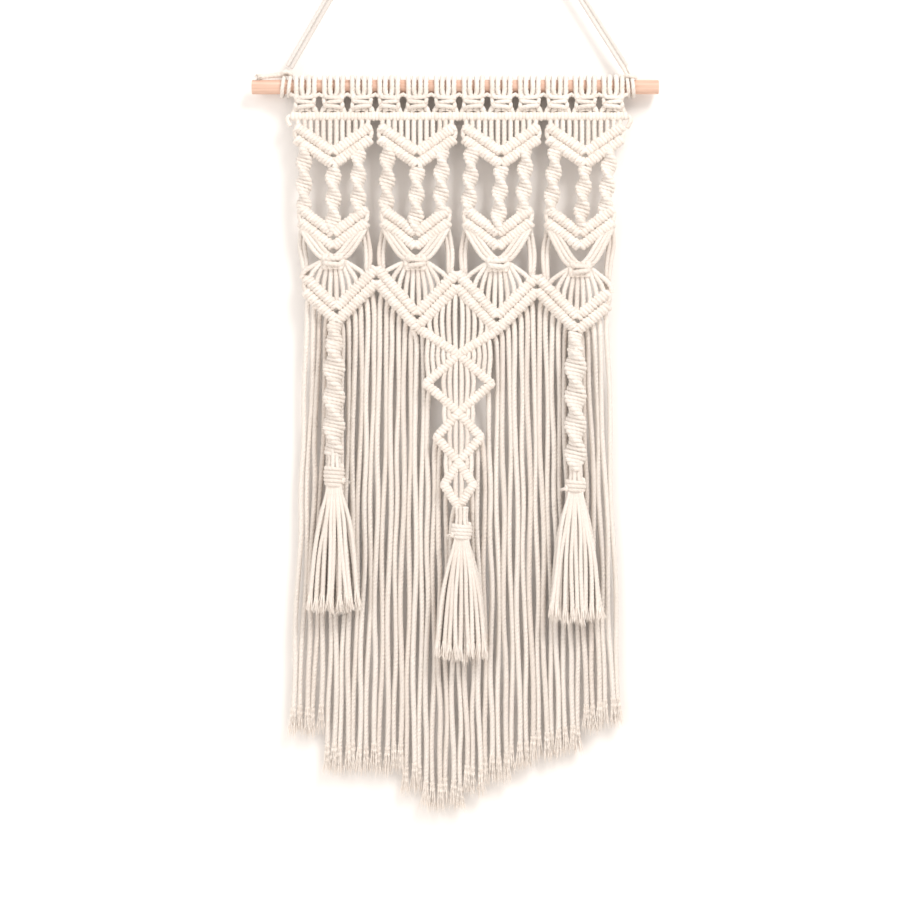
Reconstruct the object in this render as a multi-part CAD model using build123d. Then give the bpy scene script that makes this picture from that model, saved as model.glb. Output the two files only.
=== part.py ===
from build123d import *
import math
import os

# A knotted cotton wall hanging on a wooden dowel.
# Millimetres, +Z up, +X to the right seen from the front, the wall on the +Y side.
# The origin is the top of the nail, where the hanging cord rests on it.
# Heights are given as a "drop": the distance below the dowel's axis.

# cord and dowel
CORD_D = 4.0
HANGER_D = 4.6
DOWEL_D = 15.0
DOWEL_L = 425.0
DOWEL_X = 5.5
DOWEL_CHAMFER = 0.6
NAIL_D = 5.0
HANG_DROP = 300.0
TURNING_GAP = 0.06
GAP = 0.15
BODY_GAP = 0.5

# depth of each layer, from the dowel's axis towards the wall
KNOT_Y = -8.0
PENDANT_Y = -12.5
CURTAIN_Y = 2.0
LINK_Y = 0.0

# header: lark's heads, square knots and the first row of hitches
MOTIFS = 4
CORDS_PER_MOTIF = 12
PANEL_X = 9.5
PANEL_W = 350.0
KNOT_BAND_DROP = 12.9
KNOT_BODY_DROP = 20.3
KNOT_BAND_W = 25.0
KNOT_BODY_W = 20.0
KNOT_BODY_H = 12.0
KNOT_DEPTH = 9.0
HEADER_DROP = 31.5
HEADER_D = 9.0
HEADER_CORE_D = 3.4

# double rows of diagonal hitches
RIDGE_D = 10.0
UPPER_HALF_W = 37.5
UPPER_END_DROP = 42.7
UPPER_APEX_DROP = 69.3
UPPER_ROW_STEP = 12.6
DROP_CORD_PITCH = 6.6
LOWER_X = 7.0
LOWER_PITCH = 85.7
LOWER_HALF_W = 34.0
LOWER_END_DROP = 128.2
LOWER_APEX_DROP = 151.1
LOWER_ROW_STEP = 12.5

# short spirals between the two rows of chevrons, three under each motif
SPIRAL_D = 13.5
SPIRAL_OFFSETS = (-30.5, 0.0, 26.0)

# square knot in the middle of each lower motif; the piece is tied by hand and its right side hangs lower
STAR_DROP = 183.0
STAR_SAGS = (0.0, 1.0, 2.5, 8.0)
STAR_W = 24.0
STAR_H = 11.0
STAR_DEPTH = 10.0
# each cord below the knot: its place along the half width, and how many times further out its foot is
GATHER_FANS = ((0.2, 1.45), (0.62, 1.75), (1.0, 2.3))

# zigzag band along the bottom of the knotted panel
HEM_X = 7.0
HEM_PITCH = 83.5
HEM_END = 32.5
HEM_ROW_STEP = 14.2
VALLEY_DROP = 229.0
VALLEY_SAGS = (1.0, 0.0, 10.0, 12.0)
PEAK_DROP = 190.0
PEAK_SAGS = (10.0, 0.0, 7.0, 9.0, 25.0)

# fold line, where the curtain of loose cords swings out under the panel
FOLD_DROP = 266.0
FOLD_GAP = 8.0

# three crossed diamonds in the middle, each narrower than the one above
DIAMOND_X = 9.0
DIAMOND_D = 8.5
CROSSING_DROPS = (280.0, 340.5, 392.0, 439.0)
DIAMOND_HALF_WS = (35.0, 24.0, 16.0)
DIAMOND_CORDS = (6, 4, 2)
DIAMOND_CORD_PITCH = 5.2
INNER_VALLEYS = (1, 2)
# where the cords leave the diamonds, from the outside in: the diamond, and how far inside its corner
DIAMOND_EXITS = ((0, 3.0), (1, -2.0), (1, 4.0), (2, 2.0), (3, 7.0), (3, -0.5))

# long spirals under the outer valleys, with the tassels that hang from them
LONG_SPIRAL_D = 21.0
KNUCKLE_D = 12.0
LEFT_PIVOT_DROP = 268.0
RIGHT_PIVOT_DROP = 276.0
LEFT_NECK_DROP = 388.5
RIGHT_NECK_DROP = 403.0
LEFT_SPIRAL_X = -120.5
RIGHT_SPIRAL_X = 130.5
CENTRE_TASSEL_X = 12.0
CENTRE_NECK_DROP = 449.0
NECK_ROOM = 9.0
WRAP_D = 20.0
LEFT_WRAP_H = 25.0
RIGHT_WRAP_H = 16.0
CENTRE_WRAP_H = 19.0
WRAP_TAIL_D = 8.0
SKIRT_TOP_W = 24.0
SKIRT_TOP_T = 16.0
SKIRT_FOOT_W = 54.0
SKIRT_FOOT_T = 18.0
LEFT_SKIRT_H = 127.0
RIGHT_SKIRT_H = 132.0
CENTRE_SKIRT_H = 121.0

# the curtain: loose cords trimmed in steps to a shallow V
FRINGE_CORDS = 50
FRINGE_GROUPS = 5
FRINGE_TOP_L = -150.0
FRINGE_TOP_W = 314.0
FRINGE_FOOT_L = -164.0
FRINGE_FOOT_W = 341.0
FRINGE_RUNS = 8
FRINGE_STEPS = (
    (5, 667.0),
    (10, 707.0),
    (17, 709.0),
    (20, 730.0),
    (26, 746.0),
    (29, 731.0),
    (33, 721.0),
    (36, 705.0),
    (40, 696.0),
    (44, 689.0),
    (46, 667.0),
    (50, 660.0),
)
# sideways and forward offsets of a cord at the points of its route, used by the cords in turn
SWAYS = (
    (0.0, 0.7, -0.5, 0.6, -0.8, 0.3, 0.9, -0.4, 0.5),
    (0.0, -0.6, 0.4, 0.8, -0.3, -0.8, 0.4, 0.9, 0.1),
    (0.0, 0.4, 0.8, -0.5, 0.3, 0.9, -0.6, 0.2, -0.5),
    (0.0, -0.4, -0.8, 0.3, 0.8, -0.2, -0.7, 0.5, 0.8),
    (0.0, 0.8, 0.2, -0.7, -0.2, 0.7, 0.1, -0.8, -0.2),
)
LEANS = (0.0, 0.9, 0.3, 1.1, 0.2, 0.8, 0.4, 1.0, 0.3)
SPIRAL_SHADOW = 17.0

# hanging cord: folded over the right end of the dowel, tied round the left end
LEFT_LEG_X = -168.0
RIGHT_LEG_X = 183.0
LEG_FOOT_DROP = -21.0
LEFT_LOOP_XS = (-174.3, -167.6)
RIGHT_LOOP_XS = (185.4, 190.6)
KNOT_LUMP_D = 11.0
TAIL_L = 27.0

MOTIF_PITCH = PANEL_W / MOTIFS
CORD_PITCH = MOTIF_PITCH / CORDS_PER_MOTIF
CORD_R = CORD_D / 2
ROOT_Y = KNOT_Y + DIAMOND_D / 2 + 2 * GAP + CORD_R  # loose cords start just behind the long arms
HEADS_PER_MOTIF = CORDS_PER_MOTIF // 2
NAIL_AXIS = Vector(0, 0, -NAIL_D / 2)
radii_used = []


def at(x, y, drop):
    return Vector(x, y, -HANG_DROP - drop)


def rod(start, end, diameter):
    run = end - start
    place = Plane(origin=start, z_dir=run)
    return place * Cylinder(diameter / 2, run.length, align=(Align.CENTER, Align.CENTER, Align.MIN))


def block(middle, width, depth, height, edge):
    solid = Pos(*middle) * Box(width, depth, height)
    return fillet(solid.edges(), edge)


def ball(middle, diameter):
    return Pos(*middle) * Sphere(diameter / 2)


def join_all(shapes):
    return Compound([solid for shape in shapes for solid in shape.solids()])


def biggest(shape):
    return max(shape.solids(), key=lambda solid: solid.volume)


def trimmed(shape, tools):
    """What is left of a cord or knot outside the pieces that it runs into."""
    for tool in tools:
        shape = shape - tool
    return biggest(shape)


def height_on(line, x):
    """The drop of a row of hitches at x, along its straight arms."""
    for (x0, d0), (x1, d1) in zip(line, line[1:]):
        if x0 <= x <= x1:
            return d0 + (d1 - d0) * (x - x0) / (x1 - x0)
    return line[0][1] if x < line[0][0] else line[-1][1]


def arms(line, diameter, y):
    """One straight arm for each stretch of a zigzag line, mitred on upright planes."""
    made = []
    for (x0, d0), (x1, d1) in zip(line, line[1:]):
        start = at(x0, y, d0)
        end = at(x1, y, d1)
        reach = (end - start).normalized() * diameter
        slab = Pos((x0 + x1) / 2, y, -HANG_DROP - (d0 + d1) / 2) * Box(x1 - x0, 4 * diameter, 400)
        made.append(rod(start - reach, end + reach, diameter) & slab)
    return made


def tube(points, diameter):
    """A free cord: straight runs joined by arcs as large as the runs allow."""
    runs = [b - a for a, b in zip(points, points[1:])]
    if len(points) == 2:
        return rod(points[0], points[1], diameter)
    radii = []
    for before, after in zip(runs, runs[1:]):
        half_turn = math.radians(before.get_angle(after) / 2)
        radii.append(0.45 * min(before.length, after.length) / math.tan(half_turn))
    path = FilletPolyline(*points, radius=radii)
    radii_used.extend(radii)
    return sweep(Plane(origin=points[0], z_dir=runs[0]) * Circle(diameter / 2), path=path)


# ---- the lines that the rows of hitches follow, as (x, drop) points ----


def motif_x(i):
    return PANEL_X + (i - (MOTIFS - 1) / 2) * MOTIF_PITCH


def lower_x(i):
    return LOWER_X + (i - (MOTIFS - 1) / 2) * LOWER_PITCH


def valley_x(i):
    return HEM_X + (i - (MOTIFS - 1) / 2) * HEM_PITCH


def chevron_line(middle, half_w, end_drop, apex_drop):
    return [(middle - half_w, end_drop), (middle, apex_drop), (middle + half_w, end_drop)]


def upper_line(i, row):
    step = row * UPPER_ROW_STEP
    return chevron_line(motif_x(i), UPPER_HALF_W, UPPER_END_DROP + step, UPPER_APEX_DROP + step)


def lower_line(i, row):
    step = row * LOWER_ROW_STEP
    return chevron_line(lower_x(i), LOWER_HALF_W, LOWER_END_DROP + step, LOWER_APEX_DROP + step)


def hem_line(row):
    step = row * HEM_ROW_STEP
    points = [(valley_x(0) - HEM_END, PEAK_DROP + PEAK_SAGS[0] + step)]
    for i in range(MOTIFS):
        points.append((valley_x(i), VALLEY_DROP + VALLEY_SAGS[i] + step))
        peak_x = valley_x(i) + (HEM_END if i == MOTIFS - 1 else HEM_PITCH / 2)
        points.append((peak_x, PEAK_DROP + PEAK_SAGS[i + 1] + step))
    return points


def sleeve_tools(line, diameter, y=KNOT_Y):
    return arms(line, diameter + 2 * GAP, y)


# ---- dowel and hanging cord ----


def dowel():
    half = Vector(DOWEL_L / 2, 0, 0)
    middle = at(DOWEL_X, 0, 0)
    plain = rod(middle - half, middle + half, DOWEL_D)
    return chamfer(plain.edges().filter_by(GeomType.CIRCLE), DOWEL_CHAMFER)


def leg_way(foot_x):
    """The direction of a leg from the nail down to the dowel, and the way out of the V from it."""
    foot = at(foot_x, 0, LEG_FOOT_DROP) - NAIL_AXIS
    side = 1 if foot_x > 0 else -1
    slant = math.degrees(math.asin((NAIL_D / 2 + HANGER_D) / foot.length))
    way = foot.rotate(Axis.Y, side * slant).normalized()
    return way, Vector(-way.Z * side, 0, way.X * side)


def strand_radius(strand):
    """How far a strand's middle runs from the nail's axis: one lies on the other."""
    return NAIL_D / 2 + HANGER_D * (0.5 + strand)


def leg(foot_x):
    """Both strands of one side, straight from the nail to the dowel."""
    way, out = leg_way(foot_x)
    length = (at(foot_x, 0, LEG_FOOT_DROP) - NAIL_AXIS).dot(way)
    starts = [NAIL_AXIS + out * strand_radius(strand) for strand in range(2)]
    return join_all([rod(start, start + way * length, HANGER_D) for start in starts])


def bend():
    """Both strands where they pass over the nail."""
    left_way, left_out = leg_way(LEFT_LEG_X)
    _, right_out = leg_way(RIGHT_LEG_X)
    made = []
    for strand in range(2):
        radius = strand_radius(strand)
        start = NAIL_AXIS + left_out * radius
        arc = ThreePointArc(start, NAIL_AXIS + Vector(0, 0, radius), NAIL_AXIS + right_out * radius)
        made.append(sweep(Plane(origin=start, z_dir=left_way * -1) * Circle(HANGER_D / 2), path=arc))
    return join_all(made)


def loop_round_dowel(x, diameter, clearance, top_gap=0.0):
    """One turn of cord round the dowel, or most of a turn, open at the top."""
    middle_r = DOWEL_D / 2 + clearance + diameter / 2
    turn = 360.0 - top_gap
    ring = Torus(middle_r, diameter / 2, major_angle=turn)
    return Pos(*at(x, 0, 0)) * Rot(0, 90, 0) * Rot(0, 0, 180 + top_gap / 2) * ring


def hanger_end(loop_xs, leg_x):
    """Turns round the dowel under a knot; the turns run on the dowel with a little play."""
    turns = [loop_round_dowel(x, HANGER_D, TURNING_GAP) for x in loop_xs]
    legs = leg(leg_x)
    middle = at((loop_xs[0] + loop_xs[1]) / 2, 0, LEG_FOOT_DROP + KNOT_LUMP_D / 2)
    knot = ball(middle, KNOT_LUMP_D) - legs
    knot = knot - rod(at(-DOWEL_L, 0, 0), at(DOWEL_L, 0, 0), DOWEL_D + 2 * BODY_GAP)
    whole = turns[0] + turns[1] + biggest(knot)
    return biggest(whole)


def hanger_tail():
    """The spare end of the hanging cord, lying along the top of the dowel."""
    start_x = LEFT_LOOP_XS[0] - HANGER_D / 2 - BODY_GAP
    reach = DOWEL_D / 2 + HANGER_D / 2 + BODY_GAP
    points = [
        at(start_x, -1.0, -reach - 1.2),
        at(start_x - TAIL_L * 0.35, -3.5, -reach - 0.6),
        at(start_x - TAIL_L * 0.7, -3.0, -reach - 0.2),
        at(start_x - TAIL_L, -4.5, -reach + 0.6),
    ]
    return tube(points, HANGER_D)


# ---- header ----


def head_x(head):
    return PANEL_X - PANEL_W / 2 + (head + 0.5) * 2 * CORD_PITCH


def larks_head(head):
    """A folded cord over the dowel: two turns in front, and the bar of the fold behind."""
    x = head_x(head)
    middle_r = DOWEL_D / 2 + GAP + CORD_R
    turns = []
    for side in (-1, 1):
        turns.append(loop_round_dowel(x + side * CORD_R * 1.05, CORD_D, GAP, 0.0))
    bar_end = Vector(2.2 * CORD_R, 0, 0)
    bar_middle = at(x, middle_r + CORD_R * 1.3, 2.0)
    bar = rod(bar_middle - bar_end, bar_middle + bar_end, CORD_D)
    return biggest(turns[0] + turns[1] + bar)


def square_knot(head):
    """A square knot of two lark's heads' four cords: a crossing band over a rounder body."""
    x = (head_x(head) + head_x(head + 1)) / 2
    band = block(at(x, KNOT_Y, KNOT_BAND_DROP), KNOT_BAND_W, KNOT_DEPTH * 0.7, CORD_D, CORD_R * 0.9)
    body = block(at(x, KNOT_Y, KNOT_BODY_DROP), KNOT_BODY_W, KNOT_DEPTH, KNOT_BODY_H, CORD_R * 1.6)
    return biggest(band + body)


def header_ends():
    half = PANEL_W / 2
    return at(PANEL_X - half, KNOT_Y, HEADER_DROP), at(PANEL_X + half, KNOT_Y, HEADER_DROP)


def header_cord():
    left, right = header_ends()
    end = Vector(CORD_D, 0, 0)
    return rod(left - end, right + end, HEADER_CORE_D)


def header_hitches():
    left, right = header_ends()
    return rod(left, right, HEADER_D) - rod(left, right, HEADER_CORE_D)


def drop_cords(i):
    """The short upright cords between the header and the first chevron."""
    made = []
    under = HEADER_DROP + HEADER_D / 2
    line = upper_line(i, 0)
    tools = sleeve_tools(line, RIDGE_D)
    for cord in range(CORDS_PER_MOTIF):
        x = motif_x(i) + (cord - (CORDS_PER_MOTIF - 1) / 2) * DROP_CORD_PITCH
        foot = height_on(line, x)
        if foot - under > RIDGE_D:
            made.append(trimmed(rod(at(x, KNOT_Y, under + GAP), at(x, KNOT_Y, foot), CORD_D), tools))
    return join_all(made)


# ---- motifs ----


def chevron(line_of, i):
    """Two rows of diagonal hitches, one under the other."""
    return join_all(arms(line_of(i, 0), RIDGE_D, KNOT_Y) + arms(line_of(i, 1), RIDGE_D, KNOT_Y))


def short_spirals(i):
    """Three half-knot spirals from the upper chevron down to the lower one."""
    top_line = upper_line(i, 1)
    foot_line = lower_line(i, 0)
    tools = sleeve_tools(top_line, RIDGE_D) + sleeve_tools(foot_line, RIDGE_D)
    made = []
    for offset in SPIRAL_OFFSETS:
        top_x = motif_x(i) + offset
        foot_x = lower_x(i) + offset
        top = at(top_x, KNOT_Y, height_on(top_line, top_x))
        foot = at(foot_x, KNOT_Y, height_on(foot_line, foot_x))
        made.append(trimmed(rod(top, foot, SPIRAL_D), tools))
    return join_all(made)


def star_drop(i):
    return STAR_DROP + STAR_SAGS[i]


def star_knot(i):
    return block(at(lower_x(i), KNOT_Y, star_drop(i)), STAR_W, STAR_DEPTH, STAR_H, STAR_H * 0.3)


def gathered_cords(i):
    """Cords that run into the middle knot from above and spread out again to the zigzag below."""
    x = lower_x(i)
    above = lower_line(i, 1)
    below = hem_line(0)
    tools = sleeve_tools(above, RIDGE_D) + sleeve_tools(below, RIDGE_D)
    top = star_drop(i) - STAR_H / 2 - GAP
    foot = star_drop(i) + STAR_H / 2 + GAP
    made = []
    for side in (-1, 1):
        start_x = x + side * LOWER_HALF_W * 0.93
        start = at(start_x, KNOT_Y, height_on(above, start_x))
        end = at(x + side * (STAR_W / 2 - CORD_R), KNOT_Y, top - CORD_R)
        made.append(trimmed(rod(start, end, CORD_D), tools))
        for share, spread in GATHER_FANS:
            start = at(x + side * STAR_W / 2 * share, KNOT_Y, foot + CORD_R * share)
            end_x = x + side * STAR_W / 2 * share * spread
            end = at(end_x, KNOT_Y, height_on(below, end_x))
            made.append(trimmed(rod(start, end, CORD_D), tools))
    return join_all(made)


def link_cords():
    """Cords behind the panel, from the sides of the lower chevrons down to the peaks of the zigzag."""
    made = []
    below = hem_line(0)
    for i in range(MOTIFS):
        for side in (-1, 1):
            start_x = lower_x(i) + side * (LOWER_HALF_W - CORD_D)
            end_x = max(below[0][0] + CORD_R, min(below[-1][0] - CORD_R, start_x + side * CORD_D))
            start = at(start_x, LINK_Y, LOWER_END_DROP + LOWER_ROW_STEP)
            made.append(rod(start, at(end_x, LINK_Y, height_on(below, end_x)), CORD_D))
    return join_all(made)


def hem_row(row):
    return join_all(arms(hem_line(row), RIDGE_D, KNOT_Y))


# ---- centre diamonds ----


def diamond_drops(k):
    """The drops of the top, the corners and the foot of diamond k."""
    top = CROSSING_DROPS[k]
    foot = CROSSING_DROPS[k + 1]
    return top, (top + foot) / 2, foot


def window(x0, x1, drop0, drop1):
    """A block that keeps what lies between two upright and two level planes."""
    width = x1 - x0
    height = drop1 - drop0
    return Pos(*at(x0 + width / 2, KNOT_Y, drop0 + height / 2)) * Box(width, 4 * RIDGE_D, height)


def diamond_arms(k, diameter):
    """Four arms of hitches round diamond k, mitred at its corners and where they cross."""
    top, middle, foot = diamond_drops(k)
    made = []
    for side in (-1, 1):
        corner_x = DIAMOND_X + side * DIAMOND_HALF_WS[k]
        x0, x1 = sorted((DIAMOND_X, corner_x + side * diameter))
        for drop0, drop1, start_drop in ((top, middle, top), (middle, foot, foot)):
            start = at(DIAMOND_X, KNOT_Y, start_drop)
            end = at(corner_x, KNOT_Y, middle)
            reach = (end - start).normalized() * diameter
            made.append(rod(start - reach, end + reach, diameter) & window(x0, x1, drop0, drop1))
    return made


def diamond_cords(k):
    """The upright cords inside one diamond."""
    tools = diamond_arms(k, DIAMOND_D + 2 * GAP)
    top, middle, foot = diamond_drops(k)
    made = []
    for cord in range(DIAMOND_CORDS[k]):
        offset = (cord - (DIAMOND_CORDS[k] - 1) / 2) * DIAMOND_CORD_PITCH
        half_h = (foot - top) / 2 * (1 - abs(offset) / DIAMOND_HALF_WS[k])
        x = DIAMOND_X + offset
        plain = rod(at(x, KNOT_Y, middle - half_h), at(x, KNOT_Y, middle + half_h), CORD_D)
        made.append(trimmed(plain, tools))
    return made


def arm_line(i):
    """From an inner valley of the zigzag to the first crossing, as (x, drop) points in order of x."""
    start = (valley_x(i), VALLEY_DROP + VALLEY_SAGS[i] + HEM_ROW_STEP)
    return sorted([start, (DIAMOND_X, CROSSING_DROPS[0])])


def long_arms(diameter):
    """The two arms from the inner valleys to the first crossing, cut level with it."""
    keep = window(valley_x(0), valley_x(MOTIFS - 1), 0, CROSSING_DROPS[0])
    return [arm & keep for i in INNER_VALLEYS for arm in arms(arm_line(i), diameter, KNOT_Y)]


def above_fold():
    return window(-DOWEL_L, DOWEL_L, 0, FOLD_DROP - FOLD_GAP / 2)


def below_fold():
    return window(-DOWEL_L, DOWEL_L, FOLD_DROP + FOLD_GAP / 2, 2 * FOLD_DROP)


def centre_arm_roots():
    tools = sleeve_tools(hem_line(1), RIDGE_D)
    return join_all([trimmed(arm & above_fold(), tools) for arm in long_arms(DIAMOND_D)])


def centre_arms():
    return join_all([arm & below_fold() for arm in long_arms(DIAMOND_D)])


# ---- long spirals and tassels ----


def long_spiral(x, pivot, end):
    """A spiral of half knots that hangs from a round knuckle of cord."""
    knuckle = ball(at(x, PENDANT_Y, pivot), KNUCKLE_D)
    body = rod(at(x, PENDANT_Y, pivot + KNUCKLE_D * 0.3), at(x, PENDANT_Y, end), LONG_SPIRAL_D)
    body = fillet(body.edges().filter_by(GeomType.CIRCLE), LONG_SPIRAL_D * 0.2)
    return biggest(knuckle + body)


def wrap(x, neck, height, tail_side):
    """The cord wound round a tassel's neck, its little end knot, and the knuckle that it turns on."""
    top = neck + NECK_ROOM / 2
    knuckle = ball(at(x, PENDANT_Y, neck), NECK_ROOM - 2 * BODY_GAP)
    band = rod(at(x, PENDANT_Y, top), at(x, PENDANT_Y, top + height), WRAP_D)
    tail = ball(at(x + tail_side * WRAP_D * 0.55, PENDANT_Y, top + height * 0.75), WRAP_TAIL_D)
    neck_cord = rod(at(x, PENDANT_Y, neck), at(x, PENDANT_Y, top + 1), CORD_D)
    return biggest(knuckle + neck_cord + band + tail)


def skirt(x, neck, wrap_h, height):
    """The loose ends below a wrap, as one closed flattened cone."""
    top = neck + NECK_ROOM / 2 + wrap_h + GAP
    upper = Plane(origin=at(x, PENDANT_Y, top)) * Ellipse(SKIRT_TOP_W / 2, SKIRT_TOP_T / 2)
    middle = Plane(origin=at(x, PENDANT_Y, top + height * 0.35)) * Ellipse(
        SKIRT_FOOT_W * 0.36, SKIRT_FOOT_T / 2
    )
    lower = Plane(origin=at(x, PENDANT_Y, top + height)) * Ellipse(SKIRT_FOOT_W / 2, SKIRT_FOOT_T / 2)
    return loft([upper, middle, lower])


# ---- curtain of loose cords ----


def fringe_foot_drop(cord):
    return next(drop for last, drop in FRINGE_STEPS if cord < last)


def fringe_top_x(cord):
    return FRINGE_TOP_L + FRINGE_TOP_W * cord / (FRINGE_CORDS - 1)


def fringe_foot_x(cord):
    return FRINGE_FOOT_L + FRINGE_FOOT_W * cord / (FRINGE_CORDS - 1)


def behind_spiral(x):
    return min(abs(x - LEFT_SPIRAL_X), abs(x - RIGHT_SPIRAL_X)) < SPIRAL_SHADOW


def behind_diamonds(x):
    return abs(x - DIAMOND_X) < DIAMOND_HALF_WS[0] + CORD_D / 2


def diamond_exit(cord):
    """Where a cord in the middle of the curtain leaves the diamonds, at a corner or the last crossing."""
    inside = [c for c in range(FRINGE_CORDS) if behind_diamonds(fringe_top_x(c))]
    from_edge = min(cord - inside[0], inside[-1] - cord)
    side = -1 if cord - inside[0] == from_edge else 1
    k, nudge = DIAMOND_EXITS[min(from_edge, len(DIAMOND_EXITS) - 1)]
    if k < len(DIAMOND_HALF_WS):
        corner_drop = (CROSSING_DROPS[k] + CROSSING_DROPS[k + 1]) / 2
        return DIAMOND_X + side * (DIAMOND_HALF_WS[k] - nudge), corner_drop + DIAMOND_D
    return DIAMOND_X + side * nudge, CROSSING_DROPS[-1] + DIAMOND_D


def fringe_cord(cord):
    """A loose cord below the fold, from its top to its trimmed tip."""
    top_x = fringe_top_x(cord)
    top_drop = FOLD_DROP + FOLD_GAP / 2
    top_y = CURTAIN_Y if behind_spiral(top_x) else ROOT_Y
    if behind_diamonds(top_x):
        top_x, top_drop = diamond_exit(cord)
        top_y = CURTAIN_Y
    foot_drop = fringe_foot_drop(cord)
    sways = SWAYS[cord % len(SWAYS)]
    flip = 1 if (cord // len(SWAYS)) % 2 else -1
    points = []
    for k in range(FRINGE_RUNS + 1):
        share = k / FRINGE_RUNS
        x = top_x + (fringe_foot_x(cord) - top_x) * share + flip * sways[k]
        y = (top_y if k == 0 else CURTAIN_Y) + LEANS[k]
        points.append(at(x, y, top_drop + (foot_drop - top_drop) * share))
    return tube(points, CORD_D)


def fringe_root(cord, tools):
    """The same cord above the fold, from the underside of the zigzag."""
    x = fringe_top_x(cord)
    y = CURTAIN_Y if behind_spiral(x) else ROOT_Y
    if behind_diamonds(x):
        y = KNOT_Y
    top = at(x, y, height_on(hem_line(1), x))
    foot = at(x, y, FOLD_DROP - FOLD_GAP / 2)
    return trimmed(rod(top, foot, CORD_D), tools)


def fringe_roots():
    tools = sleeve_tools(hem_line(1), RIDGE_D) + long_arms(DIAMOND_D + 2 * GAP)
    return join_all([fringe_root(cord, tools) for cord in range(FRINGE_CORDS)])


def fringe_group(group):
    size = FRINGE_CORDS // FRINGE_GROUPS
    return join_all([fringe_cord(cord) for cord in range(group * size, (group + 1) * size)])


# ---- every node ----


def hanger_nodes():
    return {
        "hanger_bend": bend(),
        "hanger_leg_left": leg(LEFT_LEG_X),
        "hanger_leg_right": leg(RIGHT_LEG_X),
        "hanger_knot_left": hanger_end(LEFT_LOOP_XS, LEFT_LEG_X),
        "hanger_loop_right": hanger_end(RIGHT_LOOP_XS, RIGHT_LEG_X),
        "hanger_tail": hanger_tail(),
    }


def panel_nodes():
    motifs = range(MOTIFS)
    nodes = {
        "dowel": dowel(),
        "header_cord": header_cord(),
        "header_hitches": header_hitches(),
        "drop_cords": join_all([drop_cords(i) for i in motifs]),
        "gathered_cords": join_all([gathered_cords(i) for i in motifs]),
        "link_cords": link_cords(),
        "hem_row_upper": hem_row(0),
        "hem_row_lower": hem_row(1),
        "centre_arm_roots": centre_arm_roots(),
        "fringe_roots": fringe_roots(),
    }
    for i in motifs:
        heads = range(HEADS_PER_MOTIF * i, HEADS_PER_MOTIF * (i + 1))
        nodes[f"larks_heads_{i + 1}"] = join_all([larks_head(head) for head in heads])
        nodes[f"square_knots_{i + 1}"] = join_all([square_knot(head) for head in heads[::2]])
        nodes[f"upper_chevron_{i + 1}"] = chevron(upper_line, i)
        nodes[f"lower_chevron_{i + 1}"] = chevron(lower_line, i)
        nodes[f"short_spirals_{i + 1}"] = short_spirals(i)
        nodes[f"star_knot_{i + 1}"] = star_knot(i)
    return nodes


def curtain_nodes():
    count = len(DIAMOND_HALF_WS)
    upright = [cord for k in range(count) for cord in diamond_cords(k)]
    nodes = {"centre_arms": centre_arms(), "diamond_cords": join_all(upright)}
    for k in range(count):
        nodes[f"diamond_{k + 1}"] = join_all(diamond_arms(k, DIAMOND_D))
    for group in range(FRINGE_GROUPS):
        nodes[f"fringe_{group + 1}"] = fringe_group(group)
    return nodes


def pendant_nodes():
    """The long spirals and the three tassels, each with its neck and its loose ends."""
    nodes = {
        "left_spiral": long_spiral(LEFT_SPIRAL_X, LEFT_PIVOT_DROP, LEFT_NECK_DROP - NECK_ROOM / 2),
        "right_spiral": long_spiral(RIGHT_SPIRAL_X, RIGHT_PIVOT_DROP, RIGHT_NECK_DROP - NECK_ROOM / 2),
    }
    tassels = (
        ("left", LEFT_SPIRAL_X, LEFT_NECK_DROP, LEFT_WRAP_H, LEFT_SKIRT_H, 1),
        ("centre", CENTRE_TASSEL_X, CENTRE_NECK_DROP, CENTRE_WRAP_H, CENTRE_SKIRT_H, -1),
        ("right", RIGHT_SPIRAL_X, RIGHT_NECK_DROP, RIGHT_WRAP_H, RIGHT_SKIRT_H, -1),
    )
    for side, x, neck, wrap_h, skirt_h, tail_side in tassels:
        nodes[side + "_tassel_wrap"] = wrap(x, neck, wrap_h, tail_side)
        nodes[side + "_tassel_skirt"] = skirt(x, neck, wrap_h, skirt_h)
    return nodes


def main():
    os.makedirs("parts", exist_ok=True)
    nodes = hanger_nodes() | panel_nodes() | curtain_nodes() | pendant_nodes()
    for name, shape in nodes.items():
        export_step(shape, f"parts/{name}.step")
    print(len(nodes), "nodes; cord bend radii", round(min(radii_used)), "to", round(max(radii_used)), "mm")


main()
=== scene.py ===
import math

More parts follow.
